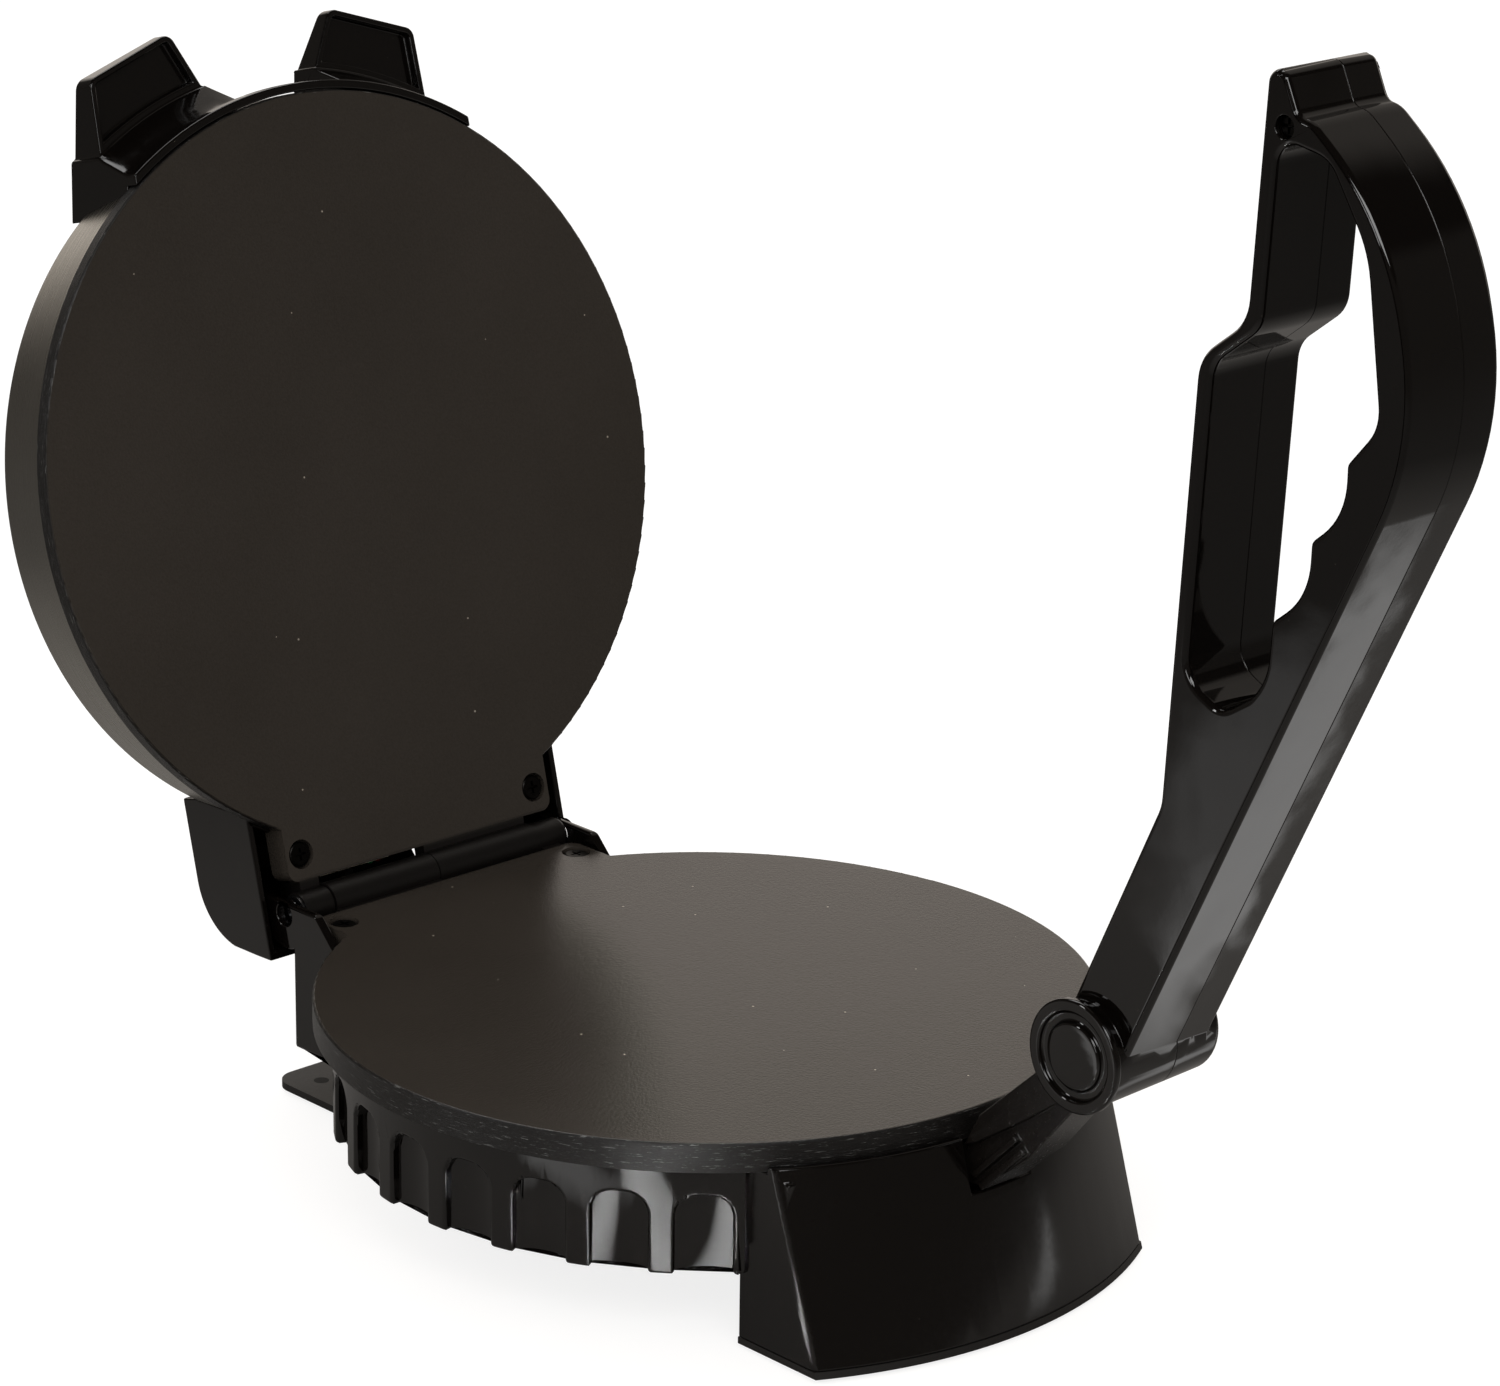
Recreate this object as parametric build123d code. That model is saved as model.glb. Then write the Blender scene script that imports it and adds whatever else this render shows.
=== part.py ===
from build123d import *
import os
from math import atan2, cos, radians, sin

# Electric tortilla maker with a hinged lid and a pressing lever. Sizes are in millimetres.
# X runs left to right, Y from the lever to the hinge, Z up from the table.
# The pieces are built with Y = 0 under the middle of the lower plate.

# Cooking plates and their gap
plate_radius = 127.0
plate_thickness = 9.5
plate_edge_round = 0.8
plate_face_height = 71.5
plate_gap = 0.6
upper_rim_height = 5.0
upper_rim_step = 3.6

# Tongue of each plate casting
tongue_half_width = 57.5
tongue_end = plate_radius + 4.6
tongue_corner = 4.0
screw_x = tongue_half_width - 6.3
screw_y = plate_radius - 4.3
screw_head_radius = 4.3
screw_head_height = 2.2
screw_recess = 0.5
counterbore_clearance = 0.7
screw_shank_radius = 1.8
screw_hole_clearance = 0.3
screw_length = 22.0
pilot_clearance = 0.02
phillips_length = 4.4
phillips_width = 0.9
phillips_depth = 1.2

# Hinge
hinge_distance = plate_radius + 13.7
lid_open_angle = 104.0
sleeve_radius = 6.6
sleeve_length = tongue_half_width - 12.5
sleeve_joint_gap = 0.4
knuckle_length = 11.5
knuckle_radius = 6.0
knuckle_side_gap = 0.5
hinge_pin_radius = 3.0
running_clearance = 0.05
pin_overhang = 1.6
web_top = 0.4
web_thickness = 5.4
clip_radius = 5.4
clip_thickness = 1.0
clip_gap = 0.2

# Skirt of the base
skirt_radius = plate_radius - 6.0
skirt_height = 36.5
skirt_wall = 2.4
flange_width = 13.0
flange_thickness = 2.5
flute_pitch = 12.4
flute_first_angle = 42.75
flutes_per_side = 9
flute_width = 17.6
flute_top_drop = 10.5
flute_corner = 7.0
flute_depth = 3.2
flute_wall = 2.0

# Neck and ears of the base, round the hinge
neck_half_width = tongue_half_width + 5.0
neck_wall = 3.4
neck_back = hinge_distance - 5.1
ear_radius = 12.0
ear_top = 4.5
ear_front = plate_radius - 13.4
ear_slope_start = plate_radius - 11.0
ear_slope_end = plate_radius - 2.5
ear_step_drop = 4.0
post_radius = 5.4

# Cord inlet in the back of the neck
inlet_x = 30.0
inlet_height = 33.0
inlet_radius = 5.0
gland_bore_radius = 3.6
gland_flange_radius = 7.5
gland_flange_thickness = 2.0
gland_clearance = 0.05

# Cover under the base
cover_thickness = 2.0
cover_clearance = 0.4
cover_post_ring = skirt_radius - 18.0
cover_post_radius = 4.4
cover_post_angles = (-20, 30, 150, 200)
small_screw_radius = 1.5
small_head_radius = 3.4
small_head_height = 1.6
small_screw_length = 11.0

# Front housing
housing_half_width = 72.0
housing_top_radius = plate_radius + 3.0
housing_bottom_radius = housing_top_radius + 17.0
housing_top_drop = 7.5
housing_rear = 33.4 - plate_radius
housing_wall = 2.6
housing_corner = 3.6
plate_rim_clearance = 0.5
notch_half_width = 12.5
notch_floor_drop = 24.5
notch_rear = 15.0 - plate_radius
foot_cover_thickness = 2.2
foot_cover_post_x = 52.0
foot_cover_post_y = 15.0 - plate_radius

# Feet and the rear stand
foot_height = 1.5
foot_radius = 7.0
foot_stem_radius = 2.6
front_foot_x = 50.0
front_foot_y = 3.0 - plate_radius
stand_half_width = 53.0
stand_front = plate_radius - 65.0
stand_back = hinge_distance + 20.3
stand_thickness = 2.5
stand_corner = 8.0
column_half_width = 40.0
column_front = plate_radius - 59.0
column_back = plate_radius - 17.0
column_wall = 2.4
rear_foot_x = 42.0
rear_foot_y = hinge_distance + 7.3
rear_foot_front_y = plate_radius - 51.0

# Lever pivot and bracket
pivot_y = -57.4 - plate_radius
pivot_drop = -39.5
pivot_pin_radius = 4.0
boss_radius = 12.5
bracket_core_half_width = 8.0
bracket_flange_half_width = 11.0
bracket_rib_half_width = 10.2
bracket_rib_width = 2.2
bush_radius = 6.0
bush_clearance = 0.03
knuckle_clear_radius = 19.4
bracket_screw_x = 15.2
bracket_screw_y = 21.0 - plate_radius
bracket_foot_half_width = 22.0

# Lever
lever_rest_angle = 93.24
lever_half_width = 19.0
lever_seam_x = 3.8
lever_wall = 2.8
lever_edge_round = 2.0
barrel_radius = 16.5
barrel_end_radius = 15.4
barrel_left = -21.4
barrel_right = 24.4
barrel_round = 3.5
barrel_end = 6.0
slot_half_width = 8.6
boss_clearance = 0.7
slot_reach = 20.5
slot_start_angle = -168.0
slot_end_angle = 4.0
cap_radius = 17.7
cap_thickness = 2.7
cap_gap = 0.3
cap_ring_width = 4.2
cap_groove_depth = 1.4
cap_button_radius = 10.3
cap_stub_radius = 6.0
cap_stub_length = 3.0
bar_inner = 20.6
bar_thickness = 5.5
bar_step = 16.2
bar_start = 85.0
bar_heel = 219.0
bar_heel_rise = 14.0
lever_tip = 304.5
lever_post_radius = 4.2
lever_screw_radius = 1.5
lever_screw_head_radius = 3.0
lever_screw_head_height = 1.4
lever_screw_seat = 15.6

# Lid cover, a steel dish
cover_rim_radius = plate_radius - 1.4
cover_top_radius = plate_radius - 6.1
cover_side_height = 34.6
cover_dome_height = 38.0
cover_sheet = 1.0
tongue_slot_clearance = 0.8

# Rear housing of the lid
rear_box_half_width = tongue_half_width + 9.5
rear_box_top = 40.0
rear_box_front = plate_radius - 26.4
rear_box_wall = 2.4
rear_box_back = hinge_distance + 15.3
rear_box_fit = 0.15
vent_x = 25.5
vent_width = 9.0
vent_depth = 9.0
vent_y = hinge_distance - 2.7
light_radius = 1.3
light_length = 7.0
light_collar_radius = 1.6
light_collar_height = 2.4
green_light_x = 3.8
red_light_x = 7.2
light_y = hinge_distance - 4.9

# Front clip and its horns
clip_half_width = 71.0
clip_band_outer = plate_radius + 3.4
clip_band_height = 5.0
clip_rim_clearance = 0.4
horn_face_height = 20.0
horn_face_radius = plate_radius + 9.0
horn_base_inner_x = 22.5
horn_tip_inner_x = 33.9
horn_tip_inner_y = -26.2 - plate_radius
horn_tip_outer_x = 68.6
horn_tip_outer_y = -14.8 - plate_radius
horn_tip_height = 25.5
horn_slope = 0.27
horn_rim = 2.2
horn_recess_depth = 3.4
horn_recess_radius = plate_radius + 11.5
horn_corner = 4.0
clip_screw_angle = 24.0
clip_screw_height = 14.0

# Heating parts
element_ring_radius = plate_radius - 41.0
element_radius = 4.0
element_groove_clearance = 0.15
element_centre_drop = 1.6
element_arc = 312.0
terminal_radius = 2.4
terminal_length = 13.0
shield_radius = plate_radius - 35.0
shield_flank = 3.0
shield_thickness = 0.8
shield_drop = 6.2
shield_dish = 5.0
shield_hole_radius = 15.0
terminal_hole_radius = 4.5
thermostat_radius = 11.0
thermostat_height = 11.0
thermostat_tab_width = 6.3
thermostat_tab_height = 7.0
fuse_radius = 2.6
fuse_length = 18.0
fuse_x = 34.0
block_length = 30.0
block_width = 18.0
block_height = 12.0
block_y = plate_radius - 31.0
lead_radius = 1.6
lead_gap = 0.3
insulation_radius = plate_radius - 27.0
insulation_bore = 40.0
insulation_thickness = 8.0

# Leads and terminal block of the lid
lid_lead_radius = 2.6
lid_lead_x = -18.0
lid_lead_ring = 10.5
lead_notch_half_width = 3.4
lead_notch_depth = 13.0
lid_block_x = -13.0
lid_block_front = hinge_distance - 14.2
lid_block_back = hinge_distance - 4.2
lid_block_low = 23.4
lid_block_top = 33.4
lead_window_half_width = 30.0
lead_window_low = 20.5
lead_window_top = 32.0

# Screws between the front housing and the lower plate
housing_screw_x = 60.0
housing_screw_y = 27.0 - plate_radius
housing_screw_length = 8.0

# Derived heights and places
lid_face_height = plate_face_height + plate_gap
hinge_height = plate_face_height + plate_gap / 2
plate_bottom = plate_face_height - plate_thickness
skirt_bottom = plate_bottom - skirt_height
skirt_inner = skirt_radius - skirt_wall
pivot_height = plate_face_height - pivot_drop
housing_top = plate_face_height - housing_top_drop
housing_bottom = foot_height + foot_cover_thickness
stand_top = foot_height + stand_thickness
pin_half_length = sleeve_length + knuckle_side_gap + knuckle_length + pin_overhang
cover_top_face = skirt_bottom + cover_thickness
lever_angle = radians(lever_rest_angle)
x_plane = Plane(origin=(0, 0, 0), x_dir=(0, 1, 0), z_dir=(1, 0, 0))
lever_plane = Plane(
    origin=(0, pivot_y, pivot_height),
    x_dir=(0, cos(lever_angle), sin(lever_angle)),
    z_dir=(1, 0, 0),
)


def block(x0, x1, y0, y1, z0, z1):
    """Box between two corners."""
    middle = ((x0 + x1) / 2, (y0 + y1) / 2, (z0 + z1) / 2)
    return Pos(*middle) * Box(x1 - x0, y1 - y0, z1 - z0)


def joined(pieces):
    """All the pieces of one node in one shape."""
    whole = Part()
    for piece in pieces:
        whole += piece
    return whole


def rod(x, y, z0, z1, radius):
    """Upright cylinder from z0 to z1."""
    return Pos(x, y, (z0 + z1) / 2) * Cylinder(radius, z1 - z0)


def rod_x(y, z, x0, x1, radius):
    """Cylinder along X from x0 to x1."""
    return Pos((x0 + x1) / 2, y, z) * Rot(0, 90, 0) * Cylinder(radius, x1 - x0)


def rod_y(x, z, y0, y1, radius):
    """Cylinder along Y from y0 to y1."""
    return Pos(x, (y0 + y1) / 2, z) * Rot(90, 0, 0) * Cylinder(radius, y1 - y0)


def side_profile(points, x0, x1):
    """Prism along X over a closed outline of (y, z) points."""
    face = make_face(Polyline(*points, close=True))
    return extrude(x_plane.offset(x0) * face, x1 - x0)


def turned(points):
    """Body of revolution about Z over a closed outline of (radius, z) points."""
    face = make_face(Plane.XZ * Polyline(*points, close=True))
    return revolve(face, Axis.Z)


def phillips_screw(shank_radius, shank_length, head_radius, head_height):
    """Screw with its head's top at the origin, shank down, and a cross recess."""
    head = rod(0, 0, -head_height, 0, head_radius)
    head = fillet(head.edges().group_by(Axis.Z)[-1], head_height * 0.4)
    slot = Box(phillips_length, phillips_width, 2 * phillips_depth)
    cross = slot + Rot(0, 0, 90) * slot
    shank = rod(0, 0, -head_height - shank_length, -head_height, shank_radius)
    return head - cross + shank


def plate_casting(rim_step):
    """Cooking plate with its face at Z = 0, tongue, long sleeve on the left and knuckle on the right."""
    axis_z = plate_gap / 2
    body = rod(0, 0, -plate_thickness, 0, plate_radius)
    body = fillet(body.edges().group_by(Axis.Z)[-1], plate_edge_round)
    tongue = block(-tongue_half_width, tongue_half_width, 0, tongue_end, -plate_thickness, 0)
    tongue = fillet(tongue.edges().filter_by(Axis.Z).group_by(Axis.Y)[-1], tongue_corner)
    body += tongue
    if rim_step > 0:
        ring = rod(0, 0, -plate_thickness - 1, -upper_rim_height, plate_radius + 1)
        ring -= rod(0, 0, -plate_thickness - 1, -upper_rim_height, plate_radius - rim_step)
        ring -= block(-tongue_half_width, tongue_half_width, 0, plate_radius + 2, -plate_thickness, 0)
        body -= ring
    half_gap = sleeve_joint_gap / 2
    web_back = tongue_end - 2 * tongue_corner
    web_z0 = -web_top - web_thickness
    web = block(-sleeve_length, -half_gap, web_back, hinge_distance, web_z0, -web_top)
    sleeve = rod_x(hinge_distance, axis_z, -sleeve_length, -half_gap, sleeve_radius)
    knuckle_start = sleeve_length + knuckle_side_gap
    knuckle_end = knuckle_start + knuckle_length
    knuckle = rod_x(hinge_distance, axis_z, knuckle_start, knuckle_end, knuckle_radius)
    arm_end = tongue_half_width - tongue_corner
    arm = block(knuckle_start, arm_end, web_back, hinge_distance, web_z0, -web_top)
    body = body + web + sleeve + knuckle + arm
    reach = tongue_half_width + sleeve_length
    body -= rod_x(hinge_distance, axis_z, -reach, reach, hinge_pin_radius + running_clearance)
    for x in (-screw_x, screw_x):
        body -= rod(x, screw_y, -plate_thickness - 1, 1, screw_shank_radius + screw_hole_clearance)
        recess_floor = -screw_head_height - screw_recess
        body -= rod(x, screw_y, recess_floor, 1, screw_head_radius + counterbore_clearance)
    groove = Torus(element_ring_radius, element_radius + element_groove_clearance)
    body -= Pos(0, 0, -plate_thickness - element_centre_drop) * groove
    return body


def over(shape):
    """Turn a piece of the lower half over, about a line midway between the shut plates."""
    return shape.rotate(Axis((0, 0, hinge_height), (0, 1, 0)), 180)


def opened(shape):
    """Carry a piece of the shut lid to its rest place, open and leaning back."""
    return shape.rotate(Axis((0, hinge_distance, hinge_height), (1, 0, 0)), -lid_open_angle)


def in_lid(shape):
    """Lift a piece measured from the lid's cooking face to the shut lid, then open it."""
    return opened(Pos(0, 0, lid_face_height) * shape)


def plate_screws():
    """The two Phillips screws of a tongue, for a plate with its face at Z = 0."""
    screw = phillips_screw(screw_shank_radius, screw_length, screw_head_radius, screw_head_height)
    pair = [Pos(x, screw_y, -screw_recess) * screw for x in (-screw_x, screw_x)]
    return joined(pair)


def flute(grow, depth, extra):
    """Arch-topped recess in the skirt, centred on the +X side, grown all round."""
    half = flute_width / 2 + grow
    top = plate_bottom - flute_top_drop + grow
    low = skirt_bottom - 2
    outline = Polyline((-half, low), (half, low), (half, top), (-half, top), close=True)
    face = make_face(outline)
    face = fillet(face.vertices().group_by(Axis.Y)[-1], flute_corner)
    start = skirt_radius - depth
    solid = extrude(Plane(origin=(start, 0, 0), x_dir=(0, 1, 0), z_dir=(1, 0, 0)) * face, depth + extra)
    return solid


def flute_angles():
    """Places of the flutes round the skirt, counted from +X."""
    steps = [flute_first_angle + flute_pitch * k for k in range(flutes_per_side)]
    return [-90 - a for a in steps] + [-90 + a for a in steps]


def ear_outline():
    """Side view of an ear of the base, in (y, z), up to the round end about the hinge axis."""
    top = plate_face_height + ear_top
    low = plate_face_height - ear_step_drop
    return [
        (ear_front, plate_bottom - 1),
        (ear_front, low - 2),
        (ear_slope_start, low),
        (ear_slope_end, top),
        (hinge_distance, top),
        (hinge_distance, plate_bottom - 1),
    ]


def base_shell():
    """Fluted skirt with its top flange, the neck behind it and the two ears beside the hinge."""
    shell = rod(0, 0, skirt_bottom, plate_bottom, skirt_radius)
    shell -= rod(0, 0, skirt_bottom - 1, plate_bottom - flange_thickness, skirt_inner)
    shell -= rod(0, 0, plate_bottom - flange_thickness - 1, plate_bottom + 1, skirt_radius - flange_width)
    lining = rod(0, 0, skirt_bottom, plate_bottom, skirt_inner + 0.2)
    lining_depth = flute_depth + flute_wall
    grooves = []
    for angle in flute_angles():
        pad = Rot(0, 0, angle) * flute(flute_wall, lining_depth, 0)
        shell += pad & lining
        grooves.append(Rot(0, 0, angle) * flute(0, flute_depth, 10))
    for groove in grooves:
        shell -= groove
    shell &= block(-200, 200, -200, 200, skirt_bottom, plate_bottom)
    shell -= block(-housing_half_width, housing_half_width, -150, housing_rear, 0, 200)
    inner_half = neck_half_width - neck_wall
    neck_z1 = plate_bottom
    neck = block(-neck_half_width, neck_half_width, 90, neck_back, skirt_bottom, neck_z1)
    hollow = block(-inner_half, inner_half, 80, neck_back - neck_wall, skirt_bottom - 1, neck_z1 + 1)
    neck -= rod(0, 0, 0, 200, skirt_inner)
    shell -= block(-inner_half, inner_half, 80, neck_back - neck_wall, skirt_bottom - 1, neck_z1 + 1)
    shell = shell + neck - hollow
    ear = side_profile(ear_outline(), 0, neck_wall)
    ear += rod_x(hinge_distance, hinge_height, 0, neck_wall, ear_radius)
    ear -= rod_x(hinge_distance, hinge_height, -1, neck_wall + 1, hinge_pin_radius + 1)
    trim = rod_x(hinge_distance, hinge_height, -1, neck_wall + 1, 60)
    trim -= rod_x(hinge_distance, hinge_height, -2, neck_wall + 2, ear_radius)
    trim &= block(-1, neck_wall + 1, hinge_distance, 260, 0, 200)
    ear -= trim
    ear -= block(-1, neck_wall + 1, 0, 260, plate_face_height + ear_top, 200)
    shell += Pos(inner_half, 0, 0) * ear
    shell += Pos(-neck_half_width, 0, 0) * ear
    for x in (-screw_x, screw_x):
        post = rod(x, screw_y, skirt_bottom + cover_thickness, plate_bottom, post_radius)
        tie_x0 = min(x, x * inner_half / screw_x)
        tie_x1 = max(x, x * inner_half / screw_x)
        tie = block(tie_x0, tie_x1, screw_y - 1, screw_y + 1, cover_top_face, plate_bottom)
        shell += post + tie
        shell -= rod(x, screw_y, cover_top_face - 1, plate_bottom + 1, screw_shank_radius + pilot_clearance)
    for angle in cover_post_angles:
        x = cover_post_ring * cos(radians(angle))
        y = cover_post_ring * sin(radians(angle))
        post = rod(x, y, cover_top_face, plate_bottom, cover_post_radius)
        tie_plane = Rot(0, 0, angle)
        tie = tie_plane * block(cover_post_ring, skirt_inner + 0.2, -1, 1, cover_top_face, plate_bottom)
        shell += post + tie
        hole_top = cover_top_face + small_screw_length
        shell -= rod(x, y, cover_top_face - 1, hole_top, small_screw_radius + pilot_clearance)
    half = lead_notch_half_width
    notch_low = plate_bottom - lead_notch_depth
    notch_front = neck_back - neck_wall - 1
    shell -= block(lid_lead_x - half, lid_lead_x + half, notch_front, neck_back + 1, notch_low, 200)
    inlet_z = skirt_bottom + skirt_height - inlet_height + 6
    shell -= rod_y(inlet_x, inlet_z, neck_back - 15, neck_back + 15, inlet_radius)
    return shell


def cord_gland():
    """Rubber grommet in the cord inlet, with a flange on each side of the wall."""
    z = skirt_bottom + skirt_height - inlet_height + 6
    wall_front = neck_back - neck_wall
    gland = rod_y(inlet_x, z, wall_front, neck_back, inlet_radius - gland_clearance)
    inner = wall_front - gland_flange_thickness
    outer = neck_back + gland_flange_thickness
    gland += rod_y(inlet_x, z, inner, wall_front, gland_flange_radius)
    gland += rod_y(inlet_x, z, neck_back, outer, gland_flange_radius)
    gland -= rod_y(inlet_x, z, inner - 1, outer + 1, gland_bore_radius)
    return gland


def base_cover():
    """Sheet that closes the skirt and the neck from below."""
    radius = skirt_inner - flute_depth - flute_wall + skirt_wall - cover_clearance
    inner_half = neck_half_width - neck_wall - cover_clearance
    back = neck_back - neck_wall - cover_clearance
    cover = rod(0, 0, skirt_bottom, cover_top_face, radius)
    cover += block(-inner_half, inner_half, 60, back, skirt_bottom, cover_top_face)
    cover -= block(-200, 200, -200, housing_rear, 0, 200)
    for angle in cover_post_angles:
        x = cover_post_ring * cos(radians(angle))
        y = cover_post_ring * sin(radians(angle))
        cover -= rod(x, y, 0, 200, small_screw_radius + screw_hole_clearance)
    for x in (-column_half_width / 2, column_half_width / 2):
        cover -= rod(x, (column_front + column_back) / 2, 0, 200, small_screw_radius + screw_hole_clearance)
    return cover


def cover_screws():
    """Screws that hold the base cover to the posts of the skirt."""
    screw = phillips_screw(small_screw_radius, small_screw_length, small_head_radius, small_head_height)
    screw = Rot(180, 0, 0) * screw
    group = []
    for angle in cover_post_angles:
        x = cover_post_ring * cos(radians(angle))
        y = cover_post_ring * sin(radians(angle))
        group.append(Pos(x, y, skirt_bottom - small_head_height) * screw)
    return joined(group)


def housing_cone(inset, z0, z1):
    """Body bounded by the coned front and the flat sides, grown inwards by inset."""
    slope = (housing_bottom_radius - housing_top_radius) / (housing_top - foot_height)
    low = housing_bottom_radius - slope * (z0 - foot_height) - inset
    high = housing_bottom_radius - slope * (z1 - foot_height) - inset
    cone = Pos(0, 0, (z0 + z1) / 2) * Cone(low, high, z1 - z0)
    side = housing_half_width - inset
    return cone & block(-side, side, -200, housing_rear - inset, z0, z1)


def front_housing():
    """Front foot: coned front, flat sides, a ledge under the plate and the notch for the bracket."""
    body = housing_cone(0, housing_bottom, housing_top)
    corners = [e for e in body.edges() if abs(e.center().Y) > 105 and abs(abs(e.center().X) - housing_half_width) < 1]
    corners = [e for e in corners if abs(e.bounding_box().size.Z) > 30]
    body = fillet(corners, housing_corner)
    body -= rod(0, 0, plate_bottom, 200, plate_radius + plate_rim_clearance)
    ledge = plate_bottom - flange_thickness
    body -= housing_cone(housing_wall, 0, ledge)
    body -= block(-housing_half_width + housing_wall, housing_half_width - housing_wall,
                  housing_rear - housing_wall - 1, housing_rear + 1, cover_top_face, ledge)
    floor = plate_face_height - notch_floor_drop
    body -= block(-notch_half_width, notch_half_width, -200, notch_rear, floor, 200)
    for x in (-foot_cover_post_x, foot_cover_post_x):
        post = rod(x, foot_cover_post_y, housing_bottom, ledge + 0.5, cover_post_radius)
        side = housing_half_width - housing_wall + 0.5
        tie = block(min(x, x / abs(x) * side), max(x, x / abs(x) * side), foot_cover_post_y - 1,
                    foot_cover_post_y + 1, housing_bottom + 2, ledge)
        body += post + tie
        top = housing_bottom + small_screw_length
        body -= rod(x, foot_cover_post_y, 0, top, small_screw_radius + pilot_clearance)
    top = bracket_seat()
    for x in (-bracket_screw_x, bracket_screw_x):
        body += rod(x, bracket_screw_y, housing_bottom, top, cover_post_radius)
        body += block(x - 1.2, x + 1.2, bracket_screw_y, housing_rear - 1, housing_bottom, top)
        body -= rod(x, bracket_screw_y, top - 14, top + 1, small_screw_radius + pilot_clearance)
    for x in (-housing_screw_x, housing_screw_x):
        body -= rod(x, housing_screw_y, ledge - 1, 200, small_screw_radius + screw_hole_clearance)
    return body


def housing_screws():
    """Screws from inside the front housing up into the back of the lower plate."""
    screw = Rot(180, 0, 0) * phillips_screw(
        small_screw_radius, housing_screw_length, small_head_radius, small_head_height)
    z = plate_bottom - flange_thickness - small_head_height
    return joined([Pos(x, housing_screw_y, z) * screw for x in (-housing_screw_x, housing_screw_x)])


def drilled_lower_plate():
    """Lower plate with the blind holes for the screws of the front housing."""
    plate = Pos(0, 0, plate_face_height) * plate_casting(0)
    depth = housing_screw_length - flange_thickness + 0.5
    for x in (-housing_screw_x, housing_screw_x):
        radius = small_screw_radius + pilot_clearance
        plate -= rod(x, housing_screw_y, plate_bottom - 1, plate_bottom + depth, radius)
    return plate


def bracket_seat():
    """Height of the posts that carry the lever bracket."""
    return plate_face_height - 36.0


def foot_cover():
    """Bottom cover of the front housing, a shallow lip below it."""
    cover = housing_cone(0, foot_height, housing_bottom)
    for x in (-foot_cover_post_x, foot_cover_post_x):
        cover -= rod(x, foot_cover_post_y, 0, 100, small_screw_radius + screw_hole_clearance)
        cover -= rod(x, foot_cover_post_y, 0, foot_height + 1.2, small_head_radius + 0.4)
    for x in (-front_foot_x, front_foot_x):
        cover -= rod(x, front_foot_y, 0, 100, foot_stem_radius + running_clearance)
    return cover


def foot_cover_screws():
    """Screws of the front bottom cover, sunk clear of the table."""
    screw = phillips_screw(small_screw_radius, small_screw_length - 2, small_head_radius, 1.1)
    screw = Rot(180, 0, 0) * screw
    places = (-foot_cover_post_x, foot_cover_post_x)
    pair = [Pos(x, foot_cover_post_y, foot_height + 0.1) * screw for x in places]
    return joined(pair)


def rubber_foot(x, y, stem):
    """Flat rubber foot with a stem in the plate above it."""
    foot = rod(x, y, 0, foot_height, foot_radius)
    foot = fillet(foot.edges().group_by(Axis.Z)[0], 0.6)
    return foot + rod(x, y, foot_height, foot_height + stem, foot_stem_radius)


def front_feet():
    """The two rubber feet of the front housing."""
    places = [(x, front_foot_y) for x in (-front_foot_x, front_foot_x)]
    return joined([rubber_foot(x, y, foot_cover_thickness) for x, y in places])


def rear_feet():
    """The rubber feet of the rear stand."""
    places = [(x, y) for x in (-rear_foot_x, rear_foot_x) for y in (rear_foot_front_y, rear_foot_y)]
    return joined([rubber_foot(x, y, stand_thickness) for x, y in places])


def rear_stand():
    """Flat steel plate on the table behind the skirt."""
    plate = block(-stand_half_width, stand_half_width, stand_front, stand_back, foot_height, stand_top)
    plate = fillet(plate.edges().filter_by(Axis.Z), stand_corner)
    for x in (-rear_foot_x, rear_foot_x):
        for y in (rear_foot_front_y, rear_foot_y):
            plate -= rod(x, y, 0, 100, foot_stem_radius + running_clearance)
    for x in (-column_half_width / 2, column_half_width / 2):
        plate -= rod(x, (column_front + column_back) / 2, 0, 100, small_screw_radius + screw_hole_clearance)
    return plate


def rear_column():
    """Open box that carries the skirt on the rear stand, with two screw posts."""
    column = block(-column_half_width, column_half_width, column_front, column_back, stand_top, skirt_bottom)
    column = fillet(column.edges().filter_by(Axis.Z), 6)
    inner = block(-column_half_width + column_wall, column_half_width - column_wall,
                  column_front + column_wall, column_back - column_wall, 0, skirt_bottom - column_wall)
    column -= fillet(inner.edges().filter_by(Axis.Z), 3.6)
    for x in (-column_half_width / 2, column_half_width / 2):
        y = (column_front + column_back) / 2
        column += rod(x, y, stand_top, skirt_bottom - column_wall, cover_post_radius)
        column -= rod(x, y, 0, 100, small_screw_radius + pilot_clearance)
    return column


def stand_screws():
    """Screws that hold the stand and the cover to the column."""
    upper = phillips_screw(small_screw_radius, cover_thickness + 9, small_head_radius, small_head_height)
    lower = Rot(180, 0, 0) * phillips_screw(small_screw_radius, 8, small_head_radius, 1.0)
    group = []
    for x in (-column_half_width / 2, column_half_width / 2):
        y = (column_front + column_back) / 2
        group.append(Pos(x, y, cover_top_face + small_head_height) * upper)
        group.append(Pos(x, y, foot_height - 1.0) * lower)
    return joined(group)


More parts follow.
